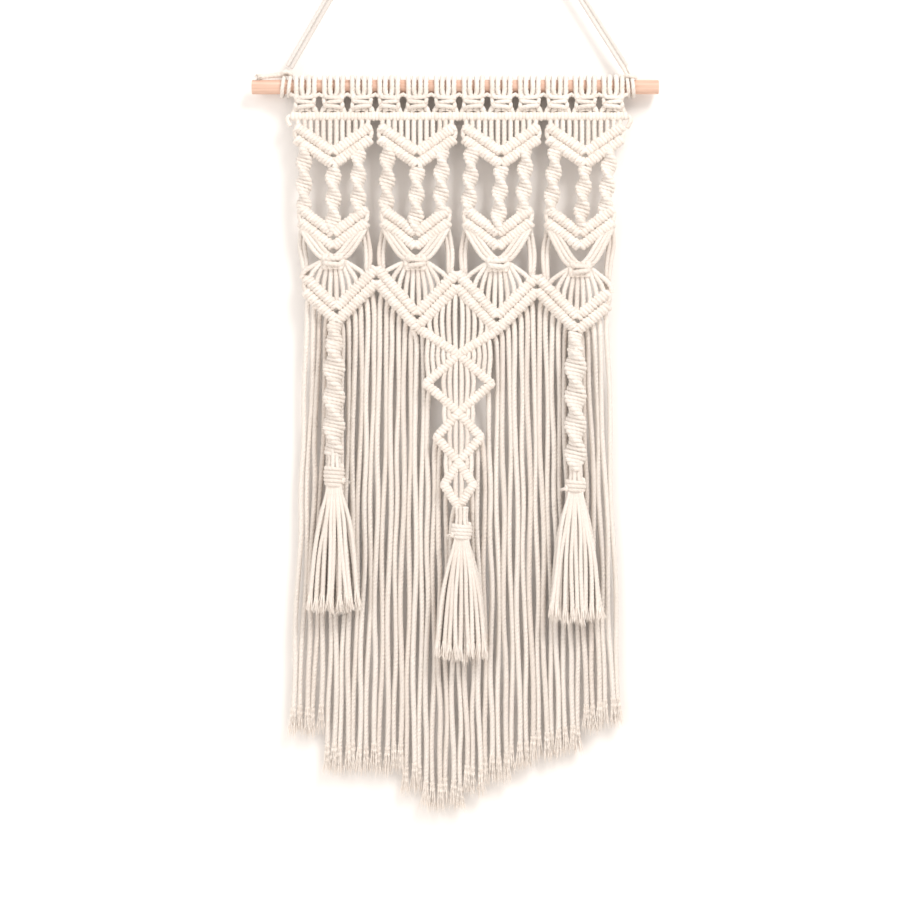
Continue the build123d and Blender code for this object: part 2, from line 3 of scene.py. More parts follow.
import bpy
import numpy as np
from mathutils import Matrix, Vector


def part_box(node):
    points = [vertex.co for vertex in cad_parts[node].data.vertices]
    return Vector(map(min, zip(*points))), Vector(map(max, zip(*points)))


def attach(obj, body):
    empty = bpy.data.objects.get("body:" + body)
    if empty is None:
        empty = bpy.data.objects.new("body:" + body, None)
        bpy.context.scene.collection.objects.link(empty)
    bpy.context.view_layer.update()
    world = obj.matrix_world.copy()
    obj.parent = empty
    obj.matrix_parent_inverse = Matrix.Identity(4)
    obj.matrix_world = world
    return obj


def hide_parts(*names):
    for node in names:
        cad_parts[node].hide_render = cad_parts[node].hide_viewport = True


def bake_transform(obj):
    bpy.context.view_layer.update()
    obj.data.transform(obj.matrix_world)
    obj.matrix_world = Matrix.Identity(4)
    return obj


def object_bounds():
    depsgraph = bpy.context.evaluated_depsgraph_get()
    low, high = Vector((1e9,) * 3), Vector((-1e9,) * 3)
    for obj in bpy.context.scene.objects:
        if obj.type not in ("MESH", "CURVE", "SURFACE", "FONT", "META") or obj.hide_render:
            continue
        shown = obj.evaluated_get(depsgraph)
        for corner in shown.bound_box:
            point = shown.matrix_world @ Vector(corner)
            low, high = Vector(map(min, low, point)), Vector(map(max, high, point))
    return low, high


# A knotted cotton wall hanging on a wooden dowel, built cord by cord.
# Metres, +Z up, +X to the right seen from the front, the wall on the +Y side.
# The origin is the top of the nail. A "drop" is the distance below the dowel's axis.

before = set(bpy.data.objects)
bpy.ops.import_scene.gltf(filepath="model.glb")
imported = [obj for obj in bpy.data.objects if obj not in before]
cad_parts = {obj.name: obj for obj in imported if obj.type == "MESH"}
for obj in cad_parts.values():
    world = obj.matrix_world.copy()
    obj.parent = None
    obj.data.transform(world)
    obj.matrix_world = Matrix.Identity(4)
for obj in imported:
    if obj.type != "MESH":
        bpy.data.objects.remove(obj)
cad_low, cad_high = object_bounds()
rng = np.random.default_rng(11)

# cord and dowel
CORD_D = 0.004
HANGER_D = 0.0046
DOWEL_D = 0.015
HANG_DROP = 0.300
NAIL_R = 0.0025
CORD_TWIST = 0.0125
FIBRE_D = 0.00095
FRINGE_D = 0.0059  # a long loose cord, untwisted a little by its own weight
LOOK_D = 0.0054  # a loose cord with its soft fuzz
WRAP_D = 0.0052  # a turn of cord pressed against its neighbours

# depth of each layer, from the dowel's axis towards the wall
KNOT_Y = -0.008
PENDANT_Y = -0.0125
CURTAIN_Y = 0.002
ROOT_Y = -0.00145
LINK_Y = 0.0

# header
HEAD_D = 0.0056  # a cord pulled flat over the dowel
MOTIFS = 4
CORDS_PER_MOTIF = 12
PANEL_X = 0.0095
PANEL_W = 0.350
KNOT_TOP_DROP = 0.0095
HEADER_DROP = 0.0315
HEADER_D = 0.0100
WRAP_PITCH = 0.00365

# double rows of diagonal hitches
RIDGE_D = 0.0124
UPPER_HALF_W = 0.0385
UPPER_END_DROP = 0.0427
UPPER_APEX_DROP = 0.0693
UPPER_ROW_STEP = 0.0126
DROP_CORD_PITCH = 0.0066
LOWER_X = 0.007
LOWER_PITCH = 0.0857
LOWER_HALF_W = 0.034
LOWER_END_DROP = 0.1282
LOWER_APEX_DROP = 0.1540
LOWER_ROW_STEP = 0.0138
SPIRAL_OFFSETS = (-0.0305, 0.0, 0.026)

# square knot in the middle of each lower motif
STAR_DROP = 0.183
STAR_SAGS = (0.0, 0.001, 0.0025, 0.008)
STAR_W = 0.024
STAR_H = 0.011
STAR_CORD_D = 0.0060
# each cord above the knot: where it leaves the chevron, in half widths, where it enters, and how low it runs
GATHER_ROUTES = ((1.02, 0.0105, 0.0068), (0.99, 0.0065, 0.0016), (0.93, 0.0030, -0.0032))
# each cord below the knot: where it leaves the knot, and how far out it meets the zigzag
GATHER_FANS = ((0.0022, 0.0035), (0.0058, 0.0105), (0.0090, 0.0175), (0.0110, 0.0245), (0.0115, 0.0330))

# zigzag band
HEM_X = 0.007
HEM_PITCH = 0.0835
HEM_END = 0.0325
HEM_ROW_STEP = 0.0142
VALLEY_DROP = 0.229
VALLEY_SAGS = (0.002, 0.008, 0.011, 0.012)
PEAK_DROP = 0.190
PEAK_SAGS = (0.010, 0.0, 0.005, 0.009, 0.025)

# fold line, where the curtain of loose cords swings out under the panel
FOLD_DROP = 0.266
FOLD_GAP = 0.008

# three crossed diamonds
DIAMOND_X = 0.009
DIAMOND_D = 0.0108
CROSSING_DROPS = (0.280, 0.3405, 0.392, 0.439)
DIAMOND_HALF_WS = (0.035, 0.024, 0.016)
DIAMOND_CORDS = (6, 4, 2)
DIAMOND_CORD_PITCH = 0.0052
DIAMOND_EXIT_ROOM = 0.0085
INNER_VALLEYS = (1, 2)
DIAMOND_EXITS = ((0, 0.003), (1, -0.002), (1, 0.004), (2, 0.002), (3, 0.007), (3, -0.0005))

# long spirals and tassels
LEFT_SPIRAL_X = -0.1205
RIGHT_SPIRAL_X = 0.1305
NECK_ROOM = 0.009

# the curtain: loose cords trimmed in steps to a shallow V
FRINGE_CORDS = 50
FRINGE_GROUPS = 5
FRINGE_TOP_L = -0.150
FRINGE_TOP_W = 0.314
FRINGE_FOOT_L = -0.164
FRINGE_FOOT_W = 0.341
FRINGE_RUNS = 8
FRINGE_STEPS = (
    (5, 0.667),
    (10, 0.707),
    (17, 0.709),
    (20, 0.730),
    (26, 0.746),
    (29, 0.731),
    (33, 0.721),
    (36, 0.705),
    (40, 0.696),
    (44, 0.689),
    (46, 0.667),
    (50, 0.660),
)
SWAYS = (
    (0.0, 0.0007, -0.0005, 0.0006, -0.0008, 0.0003, 0.0009, -0.0004, 0.0005),
    (0.0, -0.0006, 0.0004, 0.0008, -0.0003, -0.0008, 0.0004, 0.0009, 0.0001),
    (0.0, 0.0004, 0.0008, -0.0005, 0.0003, 0.0009, -0.0006, 0.0002, -0.0005),
    (0.0, -0.0004, -0.0008, 0.0003, 0.0008, -0.0002, -0.0007, 0.0005, 0.0008),
    (0.0, 0.0008, 0.0002, -0.0007, -0.0002, 0.0007, 0.0001, -0.0008, -0.0002),
)
LEANS = (0.0, 0.0009, 0.0003, 0.0011, 0.0002, 0.0008, 0.0004, 0.0010, 0.0003)
SPIRAL_SHADOW = 0.017
TWIN_EVERY = 3  # of every three loose cords, the last goes with the one beside it, its other end
FRAY_L = 0.027
ROOT_SLANT = 0.0035  # a loose cord leaves its row square to it, then turns down
SWAY_GROWS = 2.3  # the real cords wander more than the plain tubes

# hanging cord
LEG_FOOT_DROP = -0.021
LEG_XS = (-0.168, 0.183)
LEFT_LOOP_XS = (-0.1743, -0.1676)
RIGHT_LOOP_XS = (0.1854, 0.1906)
TAIL_L = 0.024
TAIL_D = 0.0060  # the cut end has untwisted

MOTIF_PITCH = PANEL_W / MOTIFS
CORD_PITCH = MOTIF_PITCH / CORDS_PER_MOTIF


def at(x, y, drop):
    return np.array((x, y, -HANG_DROP - drop))


# ---- cords as meshes ----

RING_SIDES = 12
RING_STEP = 0.0015
DOME_RISE = 0.35  # the low dome on a cut end, as a share of the cord's radius
DOME_SHOULDER = 0.55
# the outline of three plies twisted together, from the crest of a ply to the groove beside it
PLY_OUTLINE = (1.0, 0.965, 0.83, 0.965)


def curve_line(points, resolution=12):
    """The points of the smooth NURBS line that has these control points."""
    curve = bpy.data.curves.new("route", "CURVE")
    curve.dimensions = "3D"
    curve.resolution_u = resolution
    spline = curve.splines.new("NURBS")
    spline.points.add(len(points) - 1)
    for point, place in zip(spline.points, points):
        point.co = (*place, 1.0)
    spline.order_u = 3
    spline.use_endpoint_u = True
    holder = bpy.data.objects.new("route", curve)
    mesh = bpy.data.meshes.new_from_object(holder)
    line = np.array([vertex.co for vertex in mesh.vertices], float).reshape(-1, 3)
    bpy.data.meshes.remove(mesh)
    bpy.data.objects.remove(holder)
    bpy.data.curves.remove(curve)
    return line


def lengths_along(line):
    return np.concatenate([[0.0], np.cumsum(np.linalg.norm(np.diff(line, axis=0), axis=1))])


def evenly(line, step):
    along = lengths_along(line)
    count = max(3, int(math.ceil(along[-1] / step)) + 1)
    places = np.linspace(0.0, along[-1], count)
    return np.stack([np.interp(places, along, line[:, k]) for k in range(3)], axis=1)


def unit(vectors):
    return vectors / np.maximum(np.linalg.norm(vectors, axis=-1, keepdims=True), 1e-12)


def frames_along(line, closed=False):
    """Two directions across the line at each of its points, carried along without turning."""
    if closed:
        ahead = np.roll(line, -1, axis=0) - np.roll(line, 1, axis=0)
    else:
        ahead = np.gradient(line, axis=0)
    ahead = unit(ahead)
    across = np.zeros_like(line)
    first = np.cross(ahead[0], (0.13, 0.97, 0.21))
    across[0] = first / np.linalg.norm(first)
    for i in range(1, len(line)):
        turned = across[i - 1] - ahead[i] * (across[i - 1] @ ahead[i])
        across[i] = turned / max(np.linalg.norm(turned), 1e-12)
    return across, np.cross(ahead, across)


class Yarn:
    """Cords gathered into one mesh."""

    def __init__(self):
        self.points = []
        self.faces = []
        self.uvs = []
        self.tones = []
        self.count = 0

    def _store(self, points, faces, uvs, tone):
        self.points.append(points)
        self.faces.append(faces + self.count)
        self.uvs.append(uvs)
        self.tones.append(np.full(len(points), tone))
        self.count += len(points)

    def sweep(self, line, diameter, closed=False, twist=CORD_TWIST, plies=3, sides=RING_SIDES):
        """A cord along a line. diameter is one number, or one for each point of the line."""
        across, up = frames_along(line, closed)
        count = len(line)
        along = lengths_along(line)
        outline = np.resize(PLY_OUTLINE if plies else (1.0,), sides)
        turns = along / twist
        if closed:
            whole = along[-1] + np.linalg.norm(line[0] - line[-1])
            last = np.cross(across[-1], across[0])
            ahead = unit(line[0] - line[-1])
            drift = math.atan2(last @ ahead, across[-1] @ across[0])
            steps = max(1, round(3 * whole / twist))
            turns = along / whole * (steps / 3) - along / whole * drift / (2 * math.pi)
        angles = 2 * math.pi * (turns[:, None] + np.arange(sides)[None, :] / sides)
        radius = np.broadcast_to(np.asarray(diameter, float) / 2, (count,))[:, None] * outline[None, :]
        ring = across[:, None, :] * (radius * np.cos(angles))[:, :, None]
        ring = ring + up[:, None, :] * (radius * np.sin(angles))[:, :, None]
        points = (line[:, None, :] + ring).reshape(-1, 3)
        spans = count if closed else count - 1
        i = np.arange(spans)[:, None]
        j = np.arange(sides)[None, :]
        a = i * sides + j
        b = i * sides + (j + 1) % sides
        above = (i + 1) % count
        shift = steps * sides // 3 if closed else 0
        turn = np.where(i + 1 >= count, shift, 0)
        c = above * sides + (j + 1 + turn) % sides
        d = above * sides + (j + turn) % sides
        faces = np.stack([a, b, c, d], axis=2).reshape(-1, 4)
        ends = np.append(along, along[-1] + RING_STEP)
        low = np.broadcast_to(ends[:-1][:spans, None], (spans, sides))
        high = np.broadcast_to(ends[1:][:spans, None], (spans, sides))
        u0 = np.broadcast_to(j / sides, (spans, sides))
        u1 = u0 + 1 / sides
        uvs = np.stack([u0, low, u1, low, u1, high, u0, high], axis=2).reshape(-1, 2)
        self._store(points, faces, uvs, rng.random())
        if not closed:
            self._cap(line, points, sides)

    def _cap(self, line, points, sides):
        """Closes both ends of the last cord with a low dome."""
        tone = self.tones[-1][0]
        for end, other, first in ((0, 1, 0), (-1, -2, len(points) - sides)):
            ring = points[first : first + sides]
            out = unit(line[end] - line[other])
            reach = np.linalg.norm(ring[0] - line[end]) * DOME_RISE
            inner = line[end] + (ring - line[end]) * DOME_SHOULDER + out * reach * 0.8
            tip = (line[end] + out * reach)[None, :]
            made = np.concatenate([ring, inner, tip])
            j = np.arange(sides)
            k = (j + 1) % sides
            band = np.stack([j, k, k + sides, j + sides], axis=1)
            apex = np.full(sides, 2 * sides)
            cone = np.stack([j + sides, k + sides, apex, apex], axis=1)
            faces = np.concatenate([band, cone])
            if end == 0:
                faces = faces[:, ::-1]
            self._store(made, faces, np.zeros((len(faces) * 4, 2)), tone)

    def _mesh(self, name, smooth):
        """The stored cords as one mesh. A face that names a corner twice is a triangle."""
        points = np.concatenate(self.points)
        faces = np.concatenate(self.faces)
        uvs = np.concatenate(self.uvs)
        keep = np.ones(faces.shape, bool)
        keep[faces[:, 2] == faces[:, 3], 3] = False
        keep[faces[:, 0] == faces[:, 1], 0] = False
        sizes = keep.sum(1)
        mesh = bpy.data.meshes.new(name)
        mesh.vertices.add(len(points))
        mesh.vertices.foreach_set("co", points.astype(np.float32).ravel())
        mesh.loops.add(int(sizes.sum()))
        mesh.loops.foreach_set("vertex_index", faces[keep].astype(np.int32))
        mesh.polygons.add(len(faces))
        starts = np.concatenate([[0], np.cumsum(sizes)[:-1]])
        mesh.polygons.foreach_set("loop_start", starts.astype(np.int32))
        mesh.update(calc_edges=True)
        layer = mesh.uv_layers.new(name="cord")
        layer.data.foreach_set("uv", uvs[keep.ravel()].astype(np.float32).ravel())
        tone = mesh.attributes.new("tone", "FLOAT", "POINT")
        tone.data.foreach_set("value", np.concatenate(self.tones).astype(np.float32))
        mesh.polygons.foreach_set("use_smooth", np.full(len(faces), smooth))
        mesh.validate()
        return mesh

    def make(self, name, material, body=None, smooth=True):
        mesh = self._mesh(name, smooth)
        mesh.materials.append(material)
        thing = bpy.data.objects.new(name, mesh)
        bpy.context.scene.collection.objects.link(thing)
        if body:
            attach(thing, body)
        return thing


# ---- materials ----


def node_of(tree, kind, **values):
    node = tree.nodes.new(kind)
    for name, value in values.items():
        if name in node.inputs:
            node.inputs[name].default_value = value
        else:
            setattr(node, name, value)
    return node


def colour_ramp(tree, source, stops):
    ramp = tree.nodes.new("ShaderNodeValToRGB")
    ramp.color_ramp.elements[0].position, ramp.color_ramp.elements[0].color = stops[0]
    ramp.color_ramp.elements[1].position, ramp.color_ramp.elements[1].color = stops[-1]
    for position, colour in stops[1:-1]:
        ramp.color_ramp.elements.new(position).color = colour
    tree.links.new(source, ramp.inputs["Fac"])
    return ramp.outputs["Color"]


# the noise that stands for fibres: how many grains to a metre of cord, and the patchiness and fuzz over it
GRAIN_PER_M = 260.0
PATCHES_PER_M = 55.0
FUZZ_PER_M = 2600.0


def cotton(name, light, deep, fibres_round, relief):
    """Undyed cotton: fine fibres that run with the plies, a matt sheen, and slightly uneven colour."""
    material = bpy.data.materials.new(name)
    material.use_nodes = True
    tree = material.node_tree
    shader = tree.nodes["Principled BSDF"]
    shader.inputs["Roughness"].default_value = 0.92
    shader.inputs["Specular IOR Level"].default_value = 0.15
    shader.inputs["Sheen Weight"].default_value = 0.35
    shader.inputs["Sheen Roughness"].default_value = 0.55
    uv = node_of(tree, "ShaderNodeUVMap", uv_map="cord")
    stretch = node_of(tree, "ShaderNodeMapping", Scale=(fibres_round, GRAIN_PER_M, 1.0))
    tree.links.new(uv.outputs["UV"], stretch.inputs["Vector"])
    fibres = node_of(tree, "ShaderNodeTexNoise", Scale=1.0, Detail=3.0, Roughness=0.6)
    tree.links.new(stretch.outputs["Vector"], fibres.inputs["Vector"])
    place = node_of(tree, "ShaderNodeTexCoord")
    patches = node_of(tree, "ShaderNodeTexNoise", Scale=PATCHES_PER_M, Detail=3.0)
    tree.links.new(place.outputs["Object"], patches.inputs["Vector"])
    tone = node_of(tree, "ShaderNodeAttribute", attribute_name="tone")
    mixed = node_of(tree, "ShaderNodeMath", operation="ADD")
    tree.links.new(patches.outputs["Fac"], mixed.inputs[0])
    tree.links.new(tone.outputs["Fac"], mixed.inputs[1])
    half = node_of(tree, "ShaderNodeMath", operation="MULTIPLY_ADD")
    tree.links.new(mixed.outputs[0], half.inputs[0])
    half.inputs[1].default_value = 0.38
    tree.links.new(fibres.outputs["Fac"], half.inputs[2])
    colour = colour_ramp(tree, half.outputs[0], ((0.45, deep), (1.05, light)))
    tree.links.new(colour, shader.inputs["Base Color"])
    fuzz = node_of(tree, "ShaderNodeTexNoise", Scale=FUZZ_PER_M, Detail=2.0)
    tree.links.new(place.outputs["Object"], fuzz.inputs["Vector"])
    height = node_of(tree, "ShaderNodeMath", operation="MULTIPLY_ADD")
    tree.links.new(fuzz.outputs["Fac"], height.inputs[0])
    height.inputs[1].default_value = 0.35
    tree.links.new(fibres.outputs["Fac"], height.inputs[2])
    bump = node_of(tree, "ShaderNodeBump", Strength=relief, Distance=0.0004)
    tree.links.new(height.outputs[0], bump.inputs["Height"])
    tree.links.new(bump.outputs["Normal"], shader.inputs["Normal"])
    return material


# grain of the dowel, along it and across it
WOOD_GRAIN_PER_M = (9.0, 260.0, 260.0)


def dowel_wood():
    """Pale sanded wood with long fine grain along the dowel."""
    material = bpy.data.materials.new("dowel_wood")
    material.use_nodes = True
    tree = material.node_tree
    shader = tree.nodes["Principled BSDF"]
    shader.inputs["Roughness"].default_value = 0.62
    shader.inputs["Specular IOR Level"].default_value = 0.3
    place = node_of(tree, "ShaderNodeTexCoord")
    stretch = node_of(tree, "ShaderNodeMapping", Scale=WOOD_GRAIN_PER_M)
    tree.links.new(place.outputs["Object"], stretch.inputs["Vector"])
    grain = node_of(tree, "ShaderNodeTexNoise", Scale=1.0, Detail=6.0, Roughness=0.65, Distortion=0.4)
    tree.links.new(stretch.outputs["Vector"], grain.inputs["Vector"])
    stops = (
        (0.30, (0.60, 0.37, 0.27, 1.0)),
        (0.50, (0.74, 0.49, 0.38, 1.0)),
        (0.72, (0.84, 0.61, 0.49, 1.0)),
    )
    colour = colour_ramp(tree, grain.outputs["Fac"], stops)
    tree.links.new(colour, shader.inputs["Base Color"])
    bump = node_of(tree, "ShaderNodeBump", Strength=0.35, Distance=0.0002)
    tree.links.new(grain.outputs["Fac"], bump.inputs["Height"])
    tree.links.new(bump.outputs["Normal"], shader.inputs["Normal"])
    return material


COTTON = cotton("cotton_cord", (0.91, 0.835, 0.765, 1.0), (0.79, 0.69, 0.61, 1.0), 38.0, 0.55)
# the hanger's legs get a darker copy of the same cotton: painted shade, so their lit strands read grey
# against the bright wall
HANGING_PAINTED_SHADE = cotton("hanging_cord_painted_shade", (0.80, 0.745, 0.70, 1.0), (0.68, 0.615, 0.565, 1.0), 38.0, 0.55)
FRAYED = cotton("frayed_cotton", (0.92, 0.85, 0.785, 1.0), (0.83, 0.74, 0.665, 1.0), 4.0, 0.12)


# ---- camera, light and backdrop ----

VIEW_W = 0.9378
VIEW_MIDDLE_Z = -0.6794
CAMERA_BACK = 2.6
SENSOR_W = 36.0
KEY_POWER = 34.0
FILL_POWER = 13.0
SKY = 0.73
KEY_PLACE = (0.95, -1.5, 1.05)
KEY_SIZE = 0.8
FILL_PLACE = (-1.4, -1.7, -0.2)
FILL_SIZE = 1.5
WALL_GAP = 0.001
FLOOR_DROP = 0.45
STAGE_REACH = 3.0
WALL_TOP = 1.6


def camera():
    data = bpy.data.cameras.new("camera")
    data.sensor_width = SENSOR_W
    data.lens = SENSOR_W * (CAMERA_BACK + KNOT_Y) / VIEW_W
    thing = bpy.data.objects.new("camera", data)
    thing.location = (0.0, -CAMERA_BACK, VIEW_MIDDLE_Z)
    thing.rotation_euler = (math.pi / 2, 0.0, 0.0)
    bpy.context.scene.collection.objects.link(thing)
    bpy.context.scene.camera = thing


def area_light(name, place, target, size, power, colour):
    data = bpy.data.lights.new(name, "AREA")
    data.shape = "SQUARE"
    data.size = size
    data.energy = power
    data.color = colour
    thing = bpy.data.objects.new(name, data)
    thing.location = place
    thing.rotation_euler = (Vector(target) - Vector(place)).to_track_quat("-Z", "Y").to_euler()
    bpy.context.scene.collection.objects.link(thing)


def lights():
    middle = (0.0, 0.0, VIEW_MIDDLE_Z)
    area_light("key", KEY_PLACE, middle, KEY_SIZE, KEY_POWER, (1.0, 0.985, 0.965))
    area_light("fill", FILL_PLACE, middle, FILL_SIZE, FILL_POWER, (1.0, 0.985, 0.97))
    world = bpy.data.worlds.new("studio")
    world.use_nodes = True
    sky = world.node_tree.nodes["Background"]
    sky.inputs["Color"].default_value = (1.0, 0.99, 0.98, 1.0)
    sky.inputs["Strength"].default_value = SKY
    bpy.context.scene.world = world
    bpy.context.scene.view_settings.view_transform = "Standard"


def plain_white(name, one_sided):
    """Matt warm white. One-sided, it is see-through from its back, for a look at the hanging from behind."""
    material = bpy.data.materials.new(name)
    material.use_nodes = True
    tree = material.node_tree
    shader = tree.nodes["Principled BSDF"]
    shader.inputs["Base Color"].default_value = (0.95, 0.915, 0.885, 1.0)
    shader.inputs["Roughness"].default_value = 0.95
    if one_sided:
        output = tree.nodes["Material Output"]
        clear = tree.nodes.new("ShaderNodeBsdfTransparent")
        side = tree.nodes.new("ShaderNodeNewGeometry")
        mix = tree.nodes.new("ShaderNodeMixShader")
        tree.links.new(side.outputs["Backfacing"], mix.inputs["Fac"])
        tree.links.new(shader.outputs["BSDF"], mix.inputs[1])
        tree.links.new(clear.outputs["BSDF"], mix.inputs[2])
        tree.links.new(mix.outputs["Shader"], output.inputs["Surface"])
    return material


def quad(name, corners, material):
    mesh = bpy.data.meshes.new(name)
    mesh.from_pydata(corners, [], [(0, 1, 2, 3)])
    mesh.materials.append(material)
    thing = bpy.data.objects.new(name, mesh)
    bpy.context.scene.collection.objects.link(thing)


def backdrop():
    wall_y = cad_high.y + WALL_GAP
    floor_z = cad_low.z - FLOOR_DROP
    corners = ((-1, -1), (1, -1), (1, 1), (-1, 1))
    square = [(x * STAGE_REACH, y * STAGE_REACH) for x, y in corners]
    wall = [(x, wall_y, floor_z if up < 0 else WALL_TOP) for x, up in square]
    floor = [(x, y, floor_z) for x, y in square]
    quad("wall", wall, plain_white("wall_white", True))
    quad("floor", floor, plain_white("floor_white", False))


camera()
lights()
backdrop()


# ---- the lines that the rows of hitches follow, as (x, drop) points ----


def motif_x(i):
    return PANEL_X + (i - (MOTIFS - 1) / 2) * MOTIF_PITCH


def lower_x(i):
    return LOWER_X + (i - (MOTIFS - 1) / 2) * LOWER_PITCH


def valley_x(i):
    return HEM_X + (i - (MOTIFS - 1) / 2) * HEM_PITCH


def chevron_line(middle, half_w, end_drop, apex_drop):
    return [(middle - half_w, end_drop), (middle, apex_drop), (middle + half_w, end_drop)]


def upper_line(i, row):
    step = row * UPPER_ROW_STEP
    return chevron_line(motif_x(i), UPPER_HALF_W, UPPER_END_DROP + step, UPPER_APEX_DROP + step)


def lower_line(i, row):
    step = row * LOWER_ROW_STEP
    return chevron_line(lower_x(i), LOWER_HALF_W, LOWER_END_DROP + step, LOWER_APEX_DROP + step)


def hem_line(row):
    step = row * HEM_ROW_STEP
    points = [(valley_x(0) - HEM_END, PEAK_DROP + PEAK_SAGS[0] + step)]
    for i in range(MOTIFS):
        points.append((valley_x(i), VALLEY_DROP + VALLEY_SAGS[i] + step))
        peak_x = valley_x(i) + (HEM_END if i == MOTIFS - 1 else HEM_PITCH / 2)
        points.append((peak_x, PEAK_DROP + PEAK_SAGS[i + 1] + step))
    return points


def arm_line(i):
    start = (valley_x(i), VALLEY_DROP + VALLEY_SAGS[i] + HEM_ROW_STEP)
    return sorted([start, (DIAMOND_X, CROSSING_DROPS[0])])


def height_on(line, x):
    for (x0, d0), (x1, d1) in zip(line, line[1:]):
        if x0 <= x <= x1:
            return d0 + (d1 - d0) * (x - x0) / (x1 - x0)
    return line[0][1] if x < line[0][0] else line[-1][1]


# ---- knots ----

WRAP_POINTS = 18
HITCH_LEAN = 0.22  # how far a hitch leans over along its row, in radians
HITCH_SLIP = 0.00015


def wrap_ring(yarn, middle, way, radius_out, radius_deep, diameter, lean):
    """One turn of cord round a core that runs along way, leaning over by an angle."""
    way = unit(np.asarray(way, float))
    side = unit(np.cross(way, (0.0, 1.0, 0.0)))
    back = np.cross(side, way)
    angles = np.arange(WRAP_POINTS) * 2 * math.pi / WRAP_POINTS
    out = side[None, :] * (radius_out * np.cos(angles))[:, None]
    deep = back[None, :] * (radius_deep * np.sin(angles))[:, None]
    slant = way[None, :] * (math.tan(lean) * radius_out * np.cos(angles))[:, None]
    yarn.sweep(middle + out + deep + slant, diameter, closed=True)


def hitches(yarn, start, end, outer_d, count=None, lean=HITCH_LEAN):
    """A straight row of hitches: turns of cord side by side over a core."""
    start = at(start[0], KNOT_Y, start[1])
    end = at(end[0], KNOT_Y, end[1])
    run = end - start
    count = count or max(2, round(np.linalg.norm(run) / WRAP_PITCH))
    radius = (outer_d - WRAP_D) / 2
    tilt = lean if run[2] < 0 else -lean
    for k in range(count):
        share = (k + 0.5) / count
        jitter = rng.normal(0.0, 1.0, 5)
        middle = start + run * share + np.array((0.0, jitter[0], jitter[1])) * HITCH_SLIP
        size = radius * (1 + 0.04 * jitter[2] + (0.04 if k % 2 else -0.04))
        thick = WRAP_D * (1 + 0.03 * jitter[3])
        wrap_ring(yarn, middle, run, size, radius, thick, tilt + 0.06 * jitter[4])
    reach = unit(run) * CORD_D * 0.4
    yarn.sweep(evenly(np.array([start - reach, end + reach]), RING_STEP), CORD_D * 0.9)


def hitch_row(yarn, line):
    for start, end in zip(line, line[1:]):
        hitches(yarn, start, end, RIDGE_D)


def cord(yarn, points, diameter=LOOK_D, twist=CORD_TWIST):
    """A cord along the smooth line with these control points."""
    line = evenly(curve_line(points, 6), RING_STEP)
    yarn.sweep(line, diameter, twist=twist)
    return line


# the two cords of one half knot, in half widths across, cord diameters deep and knot heights down
FRONT_CORD = (
    (-1.04, -0.55, -0.30),
    (-0.78, -1.12, -0.12),
    (0.0, -1.32, 0.0),
    (0.78, -0.90, 0.10),
    (1.08, 0.30, 0.34),
)
BACK_CORD = (
    (1.12, -0.75, -0.25),
    (1.16, -0.60, 0.12),
    (0.85, 0.50, 0.40),
    (0.0, 1.10, 0.44),
    (-0.85, 0.60, 0.38),
    (-1.20, -0.45, 0.22),
)


def flat_knots(yarn, x, top_drop, half_w, count, pitch, diameter, cores, flip):
    """Half knots tied to the left and right in turn, so that they lie flat, over some core cords."""
    for route, first in ((FRONT_CORD, -flip), (BACK_CORD, flip)):
        points = [at(x + first * half_w * 0.95, KNOT_Y, top_drop - pitch * 0.4)]
        for k in range(count):
            side = flip if k % 2 == 0 else -flip
            for across, deep, down in route:
                drop = top_drop + (k + 0.5 + down) * pitch
                points.append(at(x + side * across * half_w, KNOT_Y + deep * diameter, drop))
        last = points[-1]
        points.append(np.array((last[0] * 0.96 + x * 0.04, KNOT_Y, last[2] - pitch * 0.55)))
        cord(yarn, points, diameter)
    for k in range(cores):
        offset = (k - (cores - 1) / 2) * diameter * 0.85
        drops = (top_drop - diameter * 0.3, top_drop + count * pitch + diameter * 0.3)
        ends = [at(x + offset, KNOT_Y - diameter * 0.45, drop) for drop in drops]
        yarn.sweep(evenly(np.array(ends), RING_STEP), diameter * 1.05)


# spirals of half knots: the coil's width and depth, its pitch, the length of half a turn, and the cord
SHORT_SPIRAL = {"wide": 0.0186, "deep": 0.0108, "pitch": 0.0088, "lobe": 0.0230, "diameter": 0.0052}
SPIRAL_ROOT = {"wide": 0.0200, "deep": 0.0136, "pitch": 0.0088, "lobe": 0.024, "diameter": 0.0052}
LONG_SPIRAL = {"wide": 0.0244, "deep": 0.0142, "pitch": 0.0094, "lobe": 0.0300, "diameter": 0.0054}


def sennit(yarn, top, foot, wide, deep, pitch, lobe, diameter, phase):
    """Half knots tied one under another: two cords coil over the core, and the flat coil slowly turns."""
    run = foot - top
    long = np.linalg.norm(run)
    count = max(12, int(long / pitch * 20))
    share = np.linspace(0.0, 1.0, count)
    turn = 2 * math.pi * share * long / pitch
    roll = phase + math.pi * share * long / lobe
    ease = np.minimum(1.0, np.minimum(share, 1 - share) * long / 0.006)
    half_w = wide / 2 - diameter / 2
    half_d = deep / 2 - diameter / 2
    wobble = rng.normal(0.0, 1.0, 4)
    turn = turn + 0.35 * np.sin(share * long / 0.011 + wobble[0])
    turn = turn + 0.2 * np.sin(share * long / 0.0047 + wobble[1])
    for start in (0.0, math.pi):
        across = (half_w * (0.72 + 0.28 * ease)) * np.cos(turn + start)
        through = (half_d * (0.85 + 0.15 * ease)) * np.sin(turn + start)
        x = across * np.cos(roll) - through * np.sin(roll)
        y = across * np.sin(roll) + through * np.cos(roll)
        line = top + run * share[:, None]
        line = line + np.stack([x, y, np.zeros(count)], axis=1)
        yarn.sweep(evenly(line, RING_STEP), diameter)
    for side in (-1, 1):
        offset = np.array((side * diameter * 0.45, 0.0, 0.0))
        yarn.sweep(evenly(np.array([top + offset, foot + offset]), RING_STEP), diameter)


# ---- frayed ends ----


